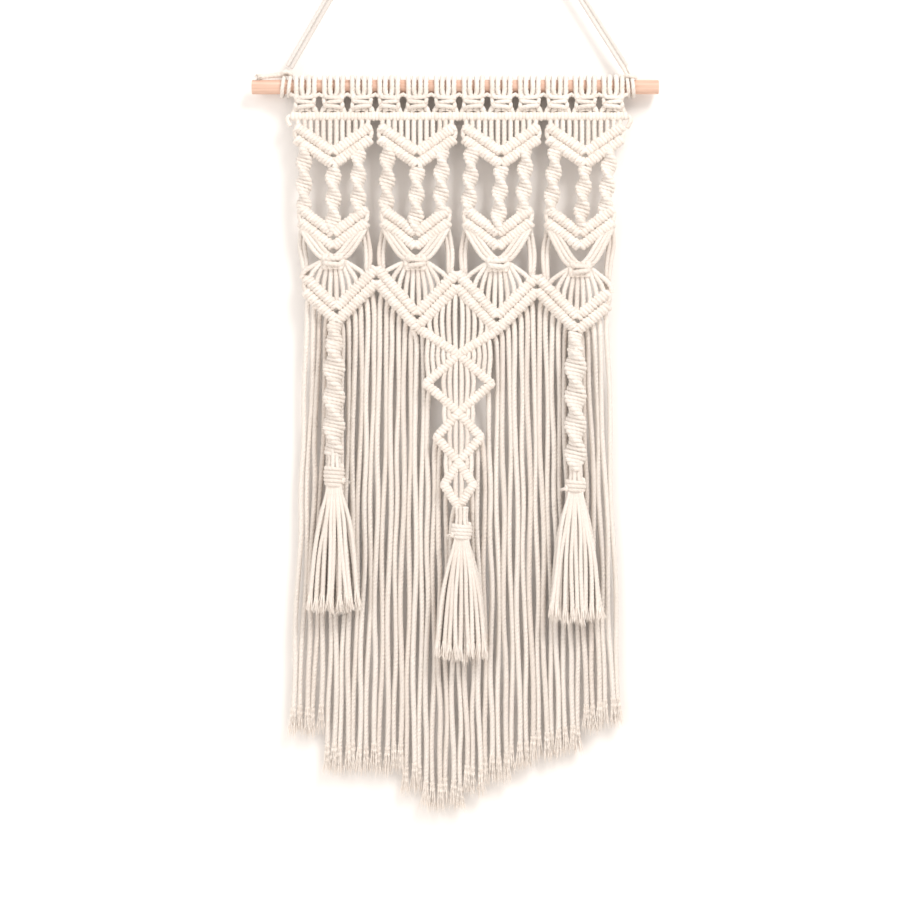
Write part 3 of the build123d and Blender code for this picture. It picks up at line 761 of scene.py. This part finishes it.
def fray(yarn, tip, way, diameter, count=26, length=FRAY_L, spread=0.32):
    """The loose fibres of a cut end: fine strands that leave the cord and spread a little."""
    way = unit(way)
    side = unit(np.cross(way, (0.0, 1.0, 0.0)))
    back = np.cross(side, way)
    for k in range(count):
        angle = 2 * math.pi * (k * 0.618)
        radius = diameter / 2 * math.sqrt((k + 0.5) / count) * 0.85
        out = side * math.cos(angle) + back * math.sin(angle)
        reach = length * (0.65 + 0.35 * rng.random())
        lean = spread * (0.35 + 0.65 * rng.random())
        start = tip + out * radius - way * 0.005
        middle = tip + out * (radius * 1.25) + way * reach * 0.4
        end = tip + out * (radius + reach * lean * 0.5) + way * reach
        end = end + rng.normal(0.0, 0.0010, 3)
        share = np.linspace(0.0, 1.0, 5)[:, None]
        line = start * (1 - share) ** 2 + middle * 2 * share * (1 - share) + end * share**2
        thick = np.interp(share[:, 0], (0.0, 0.6, 1.0), (FIBRE_D * 1.5, FIBRE_D * 1.2, FIBRE_D * 0.5))
        yarn.sweep(line, thick, plies=0, sides=4)


# ---- dowel and hanging cord ----


def dowel():
    material = dowel_wood()
    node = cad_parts["dowel"]
    node.data.materials.clear()
    node.data.materials.append(material)


def leg_way(foot_x):
    """The direction of a leg from the nail down to the dowel, and the way out of the V from it."""
    foot = at(foot_x, 0.0, LEG_FOOT_DROP) - np.array((0.0, 0.0, -NAIL_R))
    side = 1 if foot_x > 0 else -1
    slant = side * math.asin((NAIL_R + HANGER_D) / np.linalg.norm(foot))
    cos, sin = math.cos(slant), math.sin(slant)
    way = unit(np.array((foot[0] * cos + foot[2] * sin, 0.0, -foot[0] * sin + foot[2] * cos)))
    return way, np.array((-way[2] * side, 0.0, way[0] * side))


def hanger_strand(foot_x, strand):
    """Control points of one strand from the dowel up to the middle of the nail's top."""
    way, out = leg_way(foot_x)
    nail = np.array((0.0, 0.0, -NAIL_R))
    radius = NAIL_R + HANGER_D * (0.5 + strand)
    length = (at(foot_x, 0.0, LEG_FOOT_DROP) - nail) @ way
    touch = nail + out * radius
    crown = nail + np.array((0.0, 0.0, radius))
    corner = touch - way * (crown[2] - touch[2]) / way[2] * -1
    leg = [touch + way * reach for reach in (length, length * 0.5, 6 * HANGER_D)]
    return leg + [touch, corner, crown]


def hanger_legs():
    for side, foot_x in zip(("left", "right"), LEG_XS):
        for strand, name in enumerate(("inner", "outer")):
            line = evenly(curve_line(hanger_strand(foot_x, strand), 24), RING_STEP)
            yarn = Yarn()
            yarn.sweep(line, HANGER_D, twist=0.016)
            # the legs take the darker copy of the cotton, which is painted shade
            thing = yarn.make(f"hanger_{side}_{name}", HANGING_PAINTED_SHADE, "hanger")
            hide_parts("hanger_bend", f"hanger_leg_{side}")


def round_dowel(yarn, x, diameter, lean):
    """One turn of cord round the dowel."""
    radius = DOWEL_D / 2 + diameter / 2
    angles = np.arange(26) * 2 * math.pi / 26
    line = np.stack([x + math.tan(lean) * radius * np.sin(angles), radius * np.cos(angles),
                     radius * np.sin(angles) - HANG_DROP], axis=1)
    yarn.sweep(line, diameter, closed=True)


def hanger_knots():
    """The tie at the left end of the dowel, and the folded end looped over its right end."""
    left = Yarn()
    for x in LEFT_LOOP_XS:
        round_dowel(left, x, HANGER_D * 0.97, lean=0.12)
    middle = sum(LEFT_LOOP_XS) / 2
    lump = DOWEL_D / 2 + HANGER_D * 1.25
    for deep, rise in ((-0.0022, 0.0), (0.0020, 0.0012)):
        points = [
            at(middle - 0.0052, deep * 0.3, -lump + 0.0020),
            at(middle - 0.0050, deep - 0.0022, -lump - rise),
            at(middle, deep - 0.0032, -lump - 0.0024 - rise),
            at(middle + 0.0050, deep - 0.0018, -lump - rise),
            at(middle + 0.0052, deep + 0.0022, -lump + 0.0014),
            at(middle, deep + 0.0030, -lump - 0.0012 - rise),
            at(middle - 0.0050, deep + 0.0014, -lump + 0.0008),
        ]
        cord(left, points, HANGER_D * 0.93)
    thing = left.make("hanger_knot", COTTON, "hanger")
    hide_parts("hanger_knot_left")
    right = Yarn()
    for x in RIGHT_LOOP_XS:
        round_dowel(right, x, HANGER_D * 0.97, lean=-0.10)
    lump_x = sum(RIGHT_LOOP_XS) / 2
    for side in (-1, 1):
        points = [
            at(lump_x + side * 0.0026, -0.0062, -DOWEL_D / 2 + 0.0010),
            at(lump_x + side * 0.0022, -0.0042, -DOWEL_D / 2 - 0.0036),
            at(lump_x - 0.0030 + side * 0.0022, -0.0006, -DOWEL_D / 2 - 0.0085),
            at(LEG_XS[1] + side * 0.0023, 0.0, LEG_FOOT_DROP - 0.001),
        ]
        cord(right, points, HANGER_D * 0.95)
    points = [
        at(lump_x - 0.0058, -0.0048, -DOWEL_D / 2 - 0.0030),
        at(lump_x - 0.0020, -0.0086, -DOWEL_D / 2 - 0.0034),
        at(lump_x + 0.0030, -0.0082, -DOWEL_D / 2 - 0.0020),
        at(lump_x + 0.0062, -0.0040, -DOWEL_D / 2 - 0.0016),
    ]
    cord(right, points, HANGER_D * 0.9)
    thing = right.make("hanger_loop", COTTON, "hanger")
    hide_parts("hanger_loop_right")


def hanger_tail():
    yarn = Yarn()
    start_x = LEFT_LOOP_XS[0] - HANGER_D / 2 + 0.001
    reach = DOWEL_D / 2 + TAIL_D / 2 + 0.0003
    points = [
        at(start_x + 0.003, -0.0010, -reach - 0.0022),
        at(start_x - TAIL_L * 0.35, -0.0035, -reach - 0.0006),
        at(start_x - TAIL_L * 0.7, -0.0030, -reach - 0.0002),
        at(start_x - TAIL_L, -0.0045, -reach + 0.0006),
    ]
    line = cord(yarn, points, TAIL_D)
    fray(yarn, line[-1], line[-1] - line[-3], TAIL_D, count=14, length=0.004, spread=0.2)
    thing = yarn.make("hanger_tail_cord", COTTON, "hanger")
    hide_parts("hanger_tail")


# ---- header ----


def head_x(head):
    return PANEL_X - PANEL_W / 2 + (head + 0.5) * 2 * CORD_PITCH


def larks_heads(i):
    """Each cord is folded over the dowel: two turns in front, and the bar of the fold behind."""
    yarn = Yarn()
    per_motif = CORDS_PER_MOTIF // 2
    for head in range(i * per_motif, (i + 1) * per_motif):
        lean_to = -1 if head % 2 else 1
        x = head_x(head) + lean_to * 0.0008 + rng.normal(0.0, 0.0003)
        radius = (DOWEL_D + HEAD_D) / 2
        for side in (-1, 1):
            round_dowel(yarn, x + side * HEAD_D * 0.5, HEAD_D, lean=side * 0.04)
            points = [
                at(x + side * HEAD_D * 0.53, -radius * 0.9, 0.002),
                at(x + side * HEAD_D * 0.55, -radius, 0.0065),
                at(x + side * HEAD_D * 0.60 + lean_to * 0.0010, KNOT_Y - 0.0005, 0.0120),
            ]
            cord(yarn, points)
        points = [
            at(x - 0.0052, radius - 0.001, -0.001),
            at(x - 0.0046, radius + 0.0028, 0.002),
            at(x, radius + 0.0034, 0.0024),
            at(x + 0.0046, radius + 0.0028, 0.002),
            at(x + 0.0052, radius - 0.001, -0.001),
        ]
        cord(yarn, points)
    thing = yarn.make(f"larks_heads_cord_{i + 1}", COTTON, "panel")
    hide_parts(f"larks_heads_{i + 1}")


KNOT_HALF_W = 0.0082
KNOT_PITCH = 0.0045
KNOT_CORD_D = 0.0050
KNOT_EXITS = (0.0078, 0.0028)


def square_knots(i):
    """Square knots of one and a half ties, with the cords that spread from them to the header."""
    yarn = Yarn()
    per_motif = CORDS_PER_MOTIF // 2
    for head in range(i * per_motif, (i + 1) * per_motif, 2):
        x = (head_x(head) + head_x(head + 1)) / 2 + rng.normal(0.0, 0.0003)
        flip = 1 if head % 4 else -1
        flat_knots(yarn, x, KNOT_TOP_DROP + 0.0012, KNOT_HALF_W, 3, KNOT_PITCH, KNOT_CORD_D, 2, flip)
        for side in (-1, 1):
            for out in KNOT_EXITS:
                top_x = x + side * out
                spread = x + side * (out * 1.42 + 0.0008)
                below = [
                    at(top_x, KNOT_Y, KNOT_TOP_DROP + 0.0115),
                    at(spread, KNOT_Y - 0.001, KNOT_TOP_DROP + 0.0150),
                    at(spread, KNOT_Y + 0.001, HEADER_DROP - 0.002),
                ]
                cord(yarn, below)
            points = [
                at(x + side * 0.0150, KNOT_Y + 0.0015, KNOT_TOP_DROP - 0.0010),
                at(x + side * 0.0105, KNOT_Y - 0.0015, KNOT_TOP_DROP + 0.0016),
                at(x + side * 0.0040, KNOT_Y - 0.0030, KNOT_TOP_DROP + 0.0030),
            ]
            cord(yarn, points, 0.0046)
    thing = yarn.make(f"square_knots_cord_{i + 1}", COTTON, "panel")
    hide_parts(f"square_knots_{i + 1}")


# how the holding cord turns down at each end of the header: outwards and down from the row's end
LEFT_HEADER_END = ((-0.001, 0.0), (0.003, 0.0), (0.0045, 0.004), (0.001, 0.010))
RIGHT_HEADER_END = ((-0.001, 0.0), (0.003, 0.0005), (0.0045, 0.005), (0.0, 0.012))


def header():
    yarn = Yarn()
    half = PANEL_W / 2
    count = MOTIFS * CORDS_PER_MOTIF * 2
    hitches(yarn, (PANEL_X - half, HEADER_DROP), (PANEL_X + half, HEADER_DROP), HEADER_D, count, lean=0.04)
    for side, bend in ((-1, LEFT_HEADER_END), (1, RIGHT_HEADER_END)):
        cord(yarn, [at(PANEL_X + side * (half + out), KNOT_Y, HEADER_DROP + down) for out, down in bend])
    thing = yarn.make("header_row", COTTON, "panel")
    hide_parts("header_hitches", "header_cord")


def drop_cords():
    """The short upright cords between the header and the first chevrons."""
    yarn = Yarn()
    for i in range(MOTIFS):
        line = upper_line(i, 0)
        for k in range(CORDS_PER_MOTIF):
            offset = (k - (CORDS_PER_MOTIF - 1) / 2) * DROP_CORD_PITCH
            x = motif_x(i) + offset
            foot = height_on(line, x)
            bow = rng.normal(0.0, 0.0005)
            points = [
                at(x, KNOT_Y, HEADER_DROP + 0.001),
                at(x + bow, KNOT_Y - 0.0008, (HEADER_DROP + foot) / 2),
                at(x - bow * 0.5, KNOT_Y, foot),
            ]
            cord(yarn, points)
    thing = yarn.make("header_drop_cords", COTTON, "panel")
    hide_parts("drop_cords")


# ---- motifs ----


def chevrons():
    for kind, line_of in (("upper", upper_line), ("lower", lower_line)):
        for i in range(MOTIFS):
            yarn = Yarn()
            for row in range(2):
                hitch_row(yarn, line_of(i, row))
            side_loops(yarn, line_of(i, 0), line_of(i, 1))
            thing = yarn.make(f"{kind}_chevron_cord_{i + 1}", COTTON, "panel")
            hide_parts(f"{kind}_chevron_{i + 1}")


def side_loops(yarn, first, second):
    """At each end of a chevron the core of one row turns down into the next."""
    for end, out in ((0, -1), (-1, 1)):
        x, top = first[end]
        _, foot = second[end]
        points = [
            at(x - out * 0.002, KNOT_Y - 0.001, top - 0.001),
            at(x + out * 0.0012, KNOT_Y - 0.001, top + 0.002),
            at(x + out * 0.0014, KNOT_Y, foot - 0.002),
            at(x - out * 0.002, KNOT_Y, foot + 0.001),
        ]
        cord(yarn, points)


def short_spirals():
    for i in range(MOTIFS):
        yarn = Yarn()
        for k, offset in enumerate(SPIRAL_OFFSETS):
            top_x = motif_x(i) + offset
            foot_x = lower_x(i) + offset
            top = at(top_x, KNOT_Y, height_on(upper_line(i, 1), top_x) + 0.002)
            foot = at(foot_x, KNOT_Y, height_on(lower_line(i, 0), foot_x) - 0.002)
            sennit(yarn, top, foot, phase=0.9 + 0.8 * k + 0.5 * i, **SHORT_SPIRAL)
        thing = yarn.make(f"short_spirals_cord_{i + 1}", COTTON, "panel")
        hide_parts(f"short_spirals_{i + 1}")


def star_drop(i):
    return STAR_DROP + STAR_SAGS[i]


def star_knots():
    for i in range(MOTIFS):
        yarn = Yarn()
        x = lower_x(i)
        top = star_drop(i) - STAR_H / 2
        flip = 1 if i % 2 else -1
        flat_knots(yarn, x, top + 0.0002, STAR_W / 2 - 0.0036, 2, STAR_H * 0.50, STAR_CORD_D, 4, flip)
        thing = yarn.make(f"star_knot_cord_{i + 1}", COTTON, "panel")
        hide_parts(f"star_knot_{i + 1}")


def gathered_cords():
    """Cords that run into the middle knot from above and fan out again to the zigzag below."""
    yarn = Yarn()
    for i in range(MOTIFS):
        x = lower_x(i)
        above = lower_line(i, 1)
        below = hem_line(0)
        top = star_drop(i) - STAR_H / 2
        foot = star_drop(i) + STAR_H / 2
        for side in (-1, 1):
            for start, end, sink in GATHER_ROUTES:
                start_x = x + side * LOWER_HALF_W * start
                start_drop = LOWER_END_DROP + LOWER_ROW_STEP + 0.0045 + sink * 0.5
                end_x = x + side * end
                halfway = (start_drop + top) / 2 + 0.0008 + sink * 0.55
                points = [
                    at(start_x, KNOT_Y + 0.001, start_drop - 0.004),
                    at(start_x - side * 0.003, KNOT_Y - 0.0010, start_drop + 0.002 + sink * 0.2),
                    at((start_x + end_x) / 2, KNOT_Y - 0.0025, halfway),
                    at(end_x + side * 0.004, KNOT_Y - 0.0020, top - 0.0020 + sink * 0.4),
                    at(end_x - side * 0.004, KNOT_Y, top + 0.0030 + sink * 0.2),
                ]
                cord(yarn, points)
            for leave, meet in GATHER_FANS:
                start_x = x + side * leave
                end_x = x + side * meet
                end_drop = height_on(below, end_x)
                lift = foot - 0.001 - leave * 0.45
                points = [
                    at(start_x, KNOT_Y + rng.normal(0.0, 0.0004), lift),
                    at(start_x + (end_x - start_x) * 0.45, KNOT_Y - 0.001, lift + (end_drop - lift) * 0.30),
                    at(end_x, KNOT_Y, lift + (end_drop - lift) * 0.70),
                    at(end_x, KNOT_Y, end_drop),
                ]
                cord(yarn, points)
    thing = yarn.make("star_fan_cords", COTTON, "panel")
    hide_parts("gathered_cords")


def link_cords():
    """Slack cords behind the panel, from the sides of the lower chevrons to the peaks of the zigzag."""
    yarn = Yarn()
    below = hem_line(0)
    for i in range(MOTIFS):
        for side in (-1, 1):
            start_x = lower_x(i) + side * (LOWER_HALF_W - CORD_D)
            limit_l, limit_r = below[0][0] + CORD_D / 2, below[-1][0] - CORD_D / 2
            end_x = max(limit_l, min(limit_r, start_x + side * CORD_D))
            for k in range(2):
                shift = side * (k - 0.5) * CORD_D * 1.15
                points = [
                    at(start_x + shift, LINK_Y - 0.003, LOWER_END_DROP + LOWER_ROW_STEP),
                    at(start_x + shift + side * 0.0045, LINK_Y + k * 0.001, 0.160),
                    at(end_x + shift + side * 0.0030, LINK_Y, 0.182),
                    at(end_x + shift * 0.4, LINK_Y - 0.002, height_on(below, end_x) + 0.004),
                ]
                cord(yarn, points)
    thing = yarn.make("back_link_cords", COTTON, "panel")
    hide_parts("link_cords")


def hem():
    for row, name in enumerate(("upper", "lower")):
        yarn = Yarn()
        hitch_row(yarn, hem_line(row))
        if row == 0:
            side_loops(yarn, hem_line(0), hem_line(1))
        thing = yarn.make(f"zigzag_{name}", COTTON, "panel")
        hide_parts(f"hem_row_{name}")


# ---- centre diamonds ----


CENTRE_CORDS = 10
CENTRE_CORD_PITCH = 0.0062
WING_CORDS = 5
WING_START = 0.0085
WING_PITCH = 0.0056


def across_fold(thing):
    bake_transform(thing)


def centre_arms():
    """The two arms that run from the inner valleys to the first crossing, over the fold."""
    yarn = Yarn()
    for i in INNER_VALLEYS:
        start, end = arm_line(i)
        hitches(yarn, start, end, DIAMOND_D + 0.0004)
    thing = yarn.make("crossing_arms", COTTON)
    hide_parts("centre_arm_roots", "centre_arms")
    across_fold(thing)


def diamonds():
    for k, half_w in enumerate(DIAMOND_HALF_WS):
        yarn = Yarn()
        top, foot = CROSSING_DROPS[k], CROSSING_DROPS[k + 1]
        middle = (top + foot) / 2
        for side in (-1, 1):
            corner = (DIAMOND_X + side * (half_w - 0.001), middle)
            for end in ((DIAMOND_X, top), (DIAMOND_X, foot)):
                hitches(yarn, *sorted([corner, end]), DIAMOND_D)
            points = [
                at(corner[0] - side * 0.003, KNOT_Y, middle - 0.004),
                at(corner[0] + side * 0.002, KNOT_Y - 0.001, middle - 0.001),
                at(corner[0] + side * 0.002, KNOT_Y - 0.001, middle + 0.002),
                at(corner[0] - side * 0.003, KNOT_Y, middle + 0.005),
            ]
            cord(yarn, points)
        thing = yarn.make(f"diamond_cord_{k + 1}", COTTON, "curtain")
        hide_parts(f"diamond_{k + 1}")


def arm_drop(k, offset, lower):
    """The drop of the upper or lower arm of diamond k, at a distance from the middle."""
    top, foot = CROSSING_DROPS[k], CROSSING_DROPS[k + 1]
    rise = (foot - top) / 2 * abs(offset) / DIAMOND_HALF_WS[k]
    return foot - rise if lower else top + rise


def bowed(yarn, x, top, foot, bow):
    """An upright cord that bulges sideways between two arms."""
    points = [
        at(x, KNOT_Y, top),
        at(x + bow * 0.9, KNOT_Y - 0.0008, top + (foot - top) * 0.3),
        at(x + bow, KNOT_Y - 0.0008, top + (foot - top) * 0.6),
        at(x, KNOT_Y, foot),
    ]
    cord(yarn, points)


# beside each crossing: how far from the middle the short cords outside the diamonds are
SIDE_CORDS = ((0.0085, 0.0135), (0.0075, 0.0120))


def diamond_cords():
    """The cords inside the diamonds, and the short ones outside them beside each crossing."""
    yarn = Yarn()
    for k, count in enumerate(DIAMOND_CORDS):
        for c in range(count):
            offset = (c - (count - 1) / 2) * DIAMOND_CORD_PITCH
            x = DIAMOND_X + offset
            bowed(yarn, x, arm_drop(k, offset, False), arm_drop(k, offset, True), offset * 0.22)
    for k, offsets in enumerate(SIDE_CORDS):
        for side in (-1, 1):
            for offset in offsets:
                x = DIAMOND_X + side * offset
                bowed(yarn, x, arm_drop(k, offset, True), arm_drop(k + 1, offset, False), side * 0.0015)
    thing = yarn.make("diamond_upright_cords", COTTON, "curtain")
    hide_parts("diamond_cords")


# ---- curtain of loose cords ----


def fringe_foot_drop(k):
    return next(drop for last, drop in FRINGE_STEPS if k < last)


def fringe_top_x(k):
    return FRINGE_TOP_L + FRINGE_TOP_W * k / (FRINGE_CORDS - 1)


def fringe_foot_x(k):
    return FRINGE_FOOT_L + FRINGE_FOOT_W * k / (FRINGE_CORDS - 1)


def behind_spiral(x):
    return min(abs(x - LEFT_SPIRAL_X), abs(x - RIGHT_SPIRAL_X)) < SPIRAL_SHADOW


def behind_diamonds(x):
    return abs(x - DIAMOND_X) < DIAMOND_HALF_WS[0] + CORD_D / 2


def diamond_exit(k):
    inside = [c for c in range(FRINGE_CORDS) if behind_diamonds(fringe_top_x(c))]
    from_edge = min(k - inside[0], inside[-1] - k)
    side = -1 if k - inside[0] == from_edge else 1
    which, nudge = DIAMOND_EXITS[min(from_edge, len(DIAMOND_EXITS) - 1)]
    if which < len(DIAMOND_HALF_WS):
        corner_drop = (CROSSING_DROPS[which] + CROSSING_DROPS[which + 1]) / 2
        return DIAMOND_X + side * (DIAMOND_HALF_WS[which] - nudge), corner_drop + DIAMOND_EXIT_ROOM
    return DIAMOND_X + side * nudge, CROSSING_DROPS[-1] + DIAMOND_EXIT_ROOM


def fringe_route(k):
    """Control points of a loose cord, from the zigzag or a diamond down to its trimmed tip."""
    top_x = fringe_top_x(k)
    top_drop = FOLD_DROP + FOLD_GAP / 2
    top_y = CURTAIN_Y if behind_spiral(top_x) else ROOT_Y
    points = []
    if behind_diamonds(top_x):
        top_x, top_drop = diamond_exit(k)
        top_y = CURTAIN_Y
        root_x = top_x - math.copysign(0.003, top_x - DIAMOND_X)
        points.append(at(root_x, KNOT_Y + 0.003, top_drop - DIAMOND_EXIT_ROOM))
    else:
        hem_drop = height_on(hem_line(1), top_x)
        root_x = top_x + ROOT_SLANT * np.sign(height_on(hem_line(1), top_x + CORD_D) - hem_drop)
        points.append(at(root_x, KNOT_Y + 0.003, hem_drop + RIDGE_D * 0.2))
        points.append(at(top_x + (root_x - top_x) * 0.2, top_y, hem_drop + RIDGE_D * 0.8))
        if top_drop - hem_drop > 0.04:
            points.append(at(top_x + SWAYS[k % 5][3], top_y, (hem_drop + top_drop) / 2))
    foot_drop = fringe_foot_drop(k)
    sways = SWAYS[k % len(SWAYS)]
    flip = 1 if (k // len(SWAYS)) % 2 else -1
    for n in range(FRINGE_RUNS + 1):
        share = n / FRINGE_RUNS
        x = top_x + (fringe_foot_x(k) - top_x) * share + flip * sways[n] * SWAY_GROWS
        y = (top_y if n == 0 else CURTAIN_Y) + LEANS[n] + (0.0016 if k % 2 and n else 0.0)
        points.append(at(x, y, top_drop + (foot_drop - top_drop) * share))
    return points


def tip_thins(line, diameter):
    """A cord's thickness at each point of its line: its frayed end gives way to loose fibres."""
    left = lengths_along(line)[-1] - lengths_along(line)
    return diameter * np.interp(left, (0.0, 0.006), (0.66, 1.0))


def fringe_piece(k):
    """One loose cord with its frayed tip, as two pieces."""
    line = evenly(curve_line(fringe_route(k)), RING_STEP)
    cut = len(line) - int(FRAY_L * (0.45 + 0.25 * rng.random()) / RING_STEP)
    line = line[:cut]
    yarn = Yarn()
    yarn.sweep(line, tip_thins(line, FRINGE_D))
    thing = yarn.make(f"loose_cord_{k + 1}", COTTON)
    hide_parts(f"fringe_{k * FRINGE_GROUPS // FRINGE_CORDS + 1}", "fringe_roots")
    if behind_diamonds(fringe_top_x(k)):
        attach(thing, "curtain")
    else:
        across_fold(thing)
    tuft = Yarn()
    fray(tuft, line[-1], line[-1] - line[-4], FRINGE_D)
    return thing, tuft.make(f"loose_cord_tuft_{k + 1}", FRAYED, "curtain", smooth=False), line


def fringe():
    """Every loose cord. Of each three, the last is the other end of the cord beside it."""
    made = [fringe_piece(k) for k in range(FRINGE_CORDS)]
    k = 0
    while k < FRINGE_CORDS:
        thing, tuft, line = made[k]
        going = [tuft]
        paired = k % TWIN_EVERY == 1 and k + 1 < FRINGE_CORDS
        if paired:
            going += made[k + 1][:2]
        k += 2 if paired else 1


def centre_cords():
    """The upright cords over the two arms, and those under them beside the first crossing."""
    yarn = Yarn()
    for c in range(CENTRE_CORDS):
        offset = (c - (CENTRE_CORDS - 1) / 2) * CENTRE_CORD_PITCH
        x = DIAMOND_X + offset
        top = height_on(hem_line(1), x)
        foot = height_on(arm_line(INNER_VALLEYS[0] if offset < 0 else INNER_VALLEYS[1]), x)
        bowed(yarn, x, top, foot, offset * 0.10 + rng.normal(0.0, 0.0004))
    for side in (-1, 1):
        for c in range(WING_CORDS):
            offset = WING_START + c * WING_PITCH
            x = DIAMOND_X + side * offset
            top = height_on(arm_line(INNER_VALLEYS[0] if side < 0 else INNER_VALLEYS[1]), x)
            foot = arm_drop(0, offset, False)
            bowed(yarn, x, top, foot, side * 0.0022)
    thing = yarn.make("centre_upright_cords", COTTON)
    across_fold(thing)


# ---- long spirals and tassels ----


def long_spiral(side, x):
    low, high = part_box(f"{side}_spiral")
    root_top = VALLEY_DROP + VALLEY_SAGS[0 if side == "left" else 3] + HEM_ROW_STEP
    root = Yarn()
    pivot_drop = -HANG_DROP - high.z + 0.006
    root_foot = at(x, PENDANT_Y, pivot_drop + 0.004)
    sennit(root, at(x, KNOT_Y - 0.001, root_top + 0.002), root_foot, phase=0.3, **SPIRAL_ROOT)
    root.make(f"{side}_spiral_root", COTTON, "panel")
    yarn = Yarn()
    top = at(x, PENDANT_Y, pivot_drop)
    foot = np.array((x, PENDANT_Y, low.z - 0.001))
    sennit(yarn, top, foot, phase=0.4 if side == "left" else 1.3, **LONG_SPIRAL)
    thing = yarn.make(f"{side}_spiral_cord", COTTON, f"{side}_spiral_body")
    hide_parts(f"{side}_spiral")


def tassel(side, x, tail_side):
    wrap_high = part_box(f"{side}_tassel_wrap")[1]
    skirt_low, skirt_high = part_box(f"{side}_tassel_skirt")
    body = f"{side}_tassel"
    neck_z = wrap_high.z - (NECK_ROOM - 0.001) / 2
    top_z = neck_z - NECK_ROOM / 2
    neck_yarn = Yarn()
    for k in range(7):
        angle = 2 * math.pi * k / 7
        out = np.array((math.cos(angle), math.sin(angle), 0.0))
        middle = np.array((x, PENDANT_Y, neck_z))
        points = [
            middle + out * 0.0052 + np.array((0.0, 0.0, 0.010)),
            middle + out * 0.0046 + np.array((0.0, 0.0, 0.003)),
            middle + out * 0.0046 - np.array((0.0, 0.0, 0.003)),
            middle + out * 0.0060 - np.array((0.0, 0.0, 0.010)),
        ]
        cord(neck_yarn, points, CORD_D * 1.2)
    neck = neck_yarn.make(f"{side}_tassel_neck", COTTON)
    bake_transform(neck)
    wrap_turns(side, x, top_z, skirt_high.z, body, tail_side)
    skirt(side, x, skirt_low, skirt_high, body)


def wrap_turns(side, x, top_z, foot_z, body, tail_side):
    """The cord wound round the tassel's neck, with the little end knot that stands out at one side."""
    yarn = Yarn()
    height = top_z - foot_z
    turns = max(3, round(height / CORD_D) - 1)
    angle = np.linspace(0.0, 2 * math.pi * turns, turns * 24)
    share = angle / angle[-1]
    radius = 0.0090 - 0.0050 * np.abs(share - 0.45) ** 2
    line = np.stack([x + radius * np.cos(angle), PENDANT_Y + radius * 0.82 * np.sin(angle),
                     top_z - 0.003 - (height - 0.005) * share], axis=1)
    yarn.sweep(evenly(line, RING_STEP), WRAP_D)
    knot = np.array((x + tail_side * 0.0098, PENDANT_Y - 0.0035, foot_z + height * 0.28))
    for lean in (0.5, -0.5):
        wrap_ring(yarn, knot, (tail_side * 1.0, -0.3, lean), 0.0021, 0.0021, 0.0026, 0.2)
    points = [
        knot - np.array((tail_side * 0.004, 0.0, -0.002)),
        knot,
        knot + np.array((tail_side * 0.0035, -0.0010, -0.0012)),
    ]
    tail = cord(yarn, points, 0.0028)
    fray(yarn, tail[-1], tail[-1] - tail[-2], 0.0028, count=8, length=0.004, spread=0.5)
    thing = yarn.make(f"{side}_tassel_wrap_cord", COTTON, body)
    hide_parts(f"{side}_tassel_wrap")


# each layer of a tassel: its cords, its place from front to back, and its length beside the others
SKIRT_LAYERS = ((9, -1.0, 1.0), (8, -0.33, 1.02), (8, 0.33, 0.99), (7, 1.0, 0.97))
# a cord's way down its tassel: the share of the half width, of the half depth, and of the length
SKIRT_SPREAD = ((0.58, 0.75, 0.30), (0.80, 0.85, 0.62), (0.95, 0.9, 1.0))


def skirt(side, x, low, high, body):
    """The loose ends below a wrap: layers of cords that spread to a flat fan, each with a frayed tip."""
    cords = Yarn()
    tufts = Yarn()
    half_w = (high.x - low.x) / 2 - CORD_D * 0.5
    half_t = (high.y - low.y) / 2 - CORD_D * 0.5
    tall = high.z - low.z
    for count, depth, long in SKIRT_LAYERS:
        for k in range(count):
            across = (k - (count - 1) / 2) / (count - 1) * 2
            reach = tall * long * (1 - 0.03 * abs(across)) - FRAY_L * 0.45 + rng.normal(0.0, 0.0015)
            sway = rng.normal(0.0, 0.0011, 3)
            start = np.array((x + across * 0.0058, PENDANT_Y + depth * 0.0042, high.z + 0.004))
            points = [start, start + np.array((across * 0.0016, 0.0, -0.010))]
            for (wide, thick, down), drift in zip(SKIRT_SPREAD, sway):
                out_x = x + across * half_w * wide + drift
                points.append(np.array((out_x, PENDANT_Y + depth * half_t * thick, high.z - reach * down)))
            line = evenly(curve_line(points), RING_STEP)
            thick = np.interp(np.linspace(0.0, 1.0, len(line)), (0.0, 0.25, 1.0), (0.0034, 0.0046, 0.0052))
            cords.sweep(line, thick)
            fray(tufts, line[-1], line[-1] - line[-4], CORD_D, count=18, length=FRAY_L * 0.6)
    thing = cords.make(f"{side}_tassel_cords", COTTON, body)
    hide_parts(f"{side}_tassel_skirt")
    tufts.make(f"{side}_tassel_tufts", FRAYED, body, smooth=False)


# ---- the whole object ----

hanger_legs()
fringe()
hanger_knots()
hanger_tail()
dowel()
for motif in range(MOTIFS):
    larks_heads(motif)
    square_knots(motif)
header()
drop_cords()
chevrons()
short_spirals()
star_knots()
gathered_cords()
link_cords()
hem()
centre_arms()
diamonds()
diamond_cords()
centre_cords()
long_spiral("left", LEFT_SPIRAL_X)
long_spiral("right", RIGHT_SPIRAL_X)
tassel("left", LEFT_SPIRAL_X, 1)
tassel("centre", 0.012, -1)
tassel("right", RIGHT_SPIRAL_X, -1)
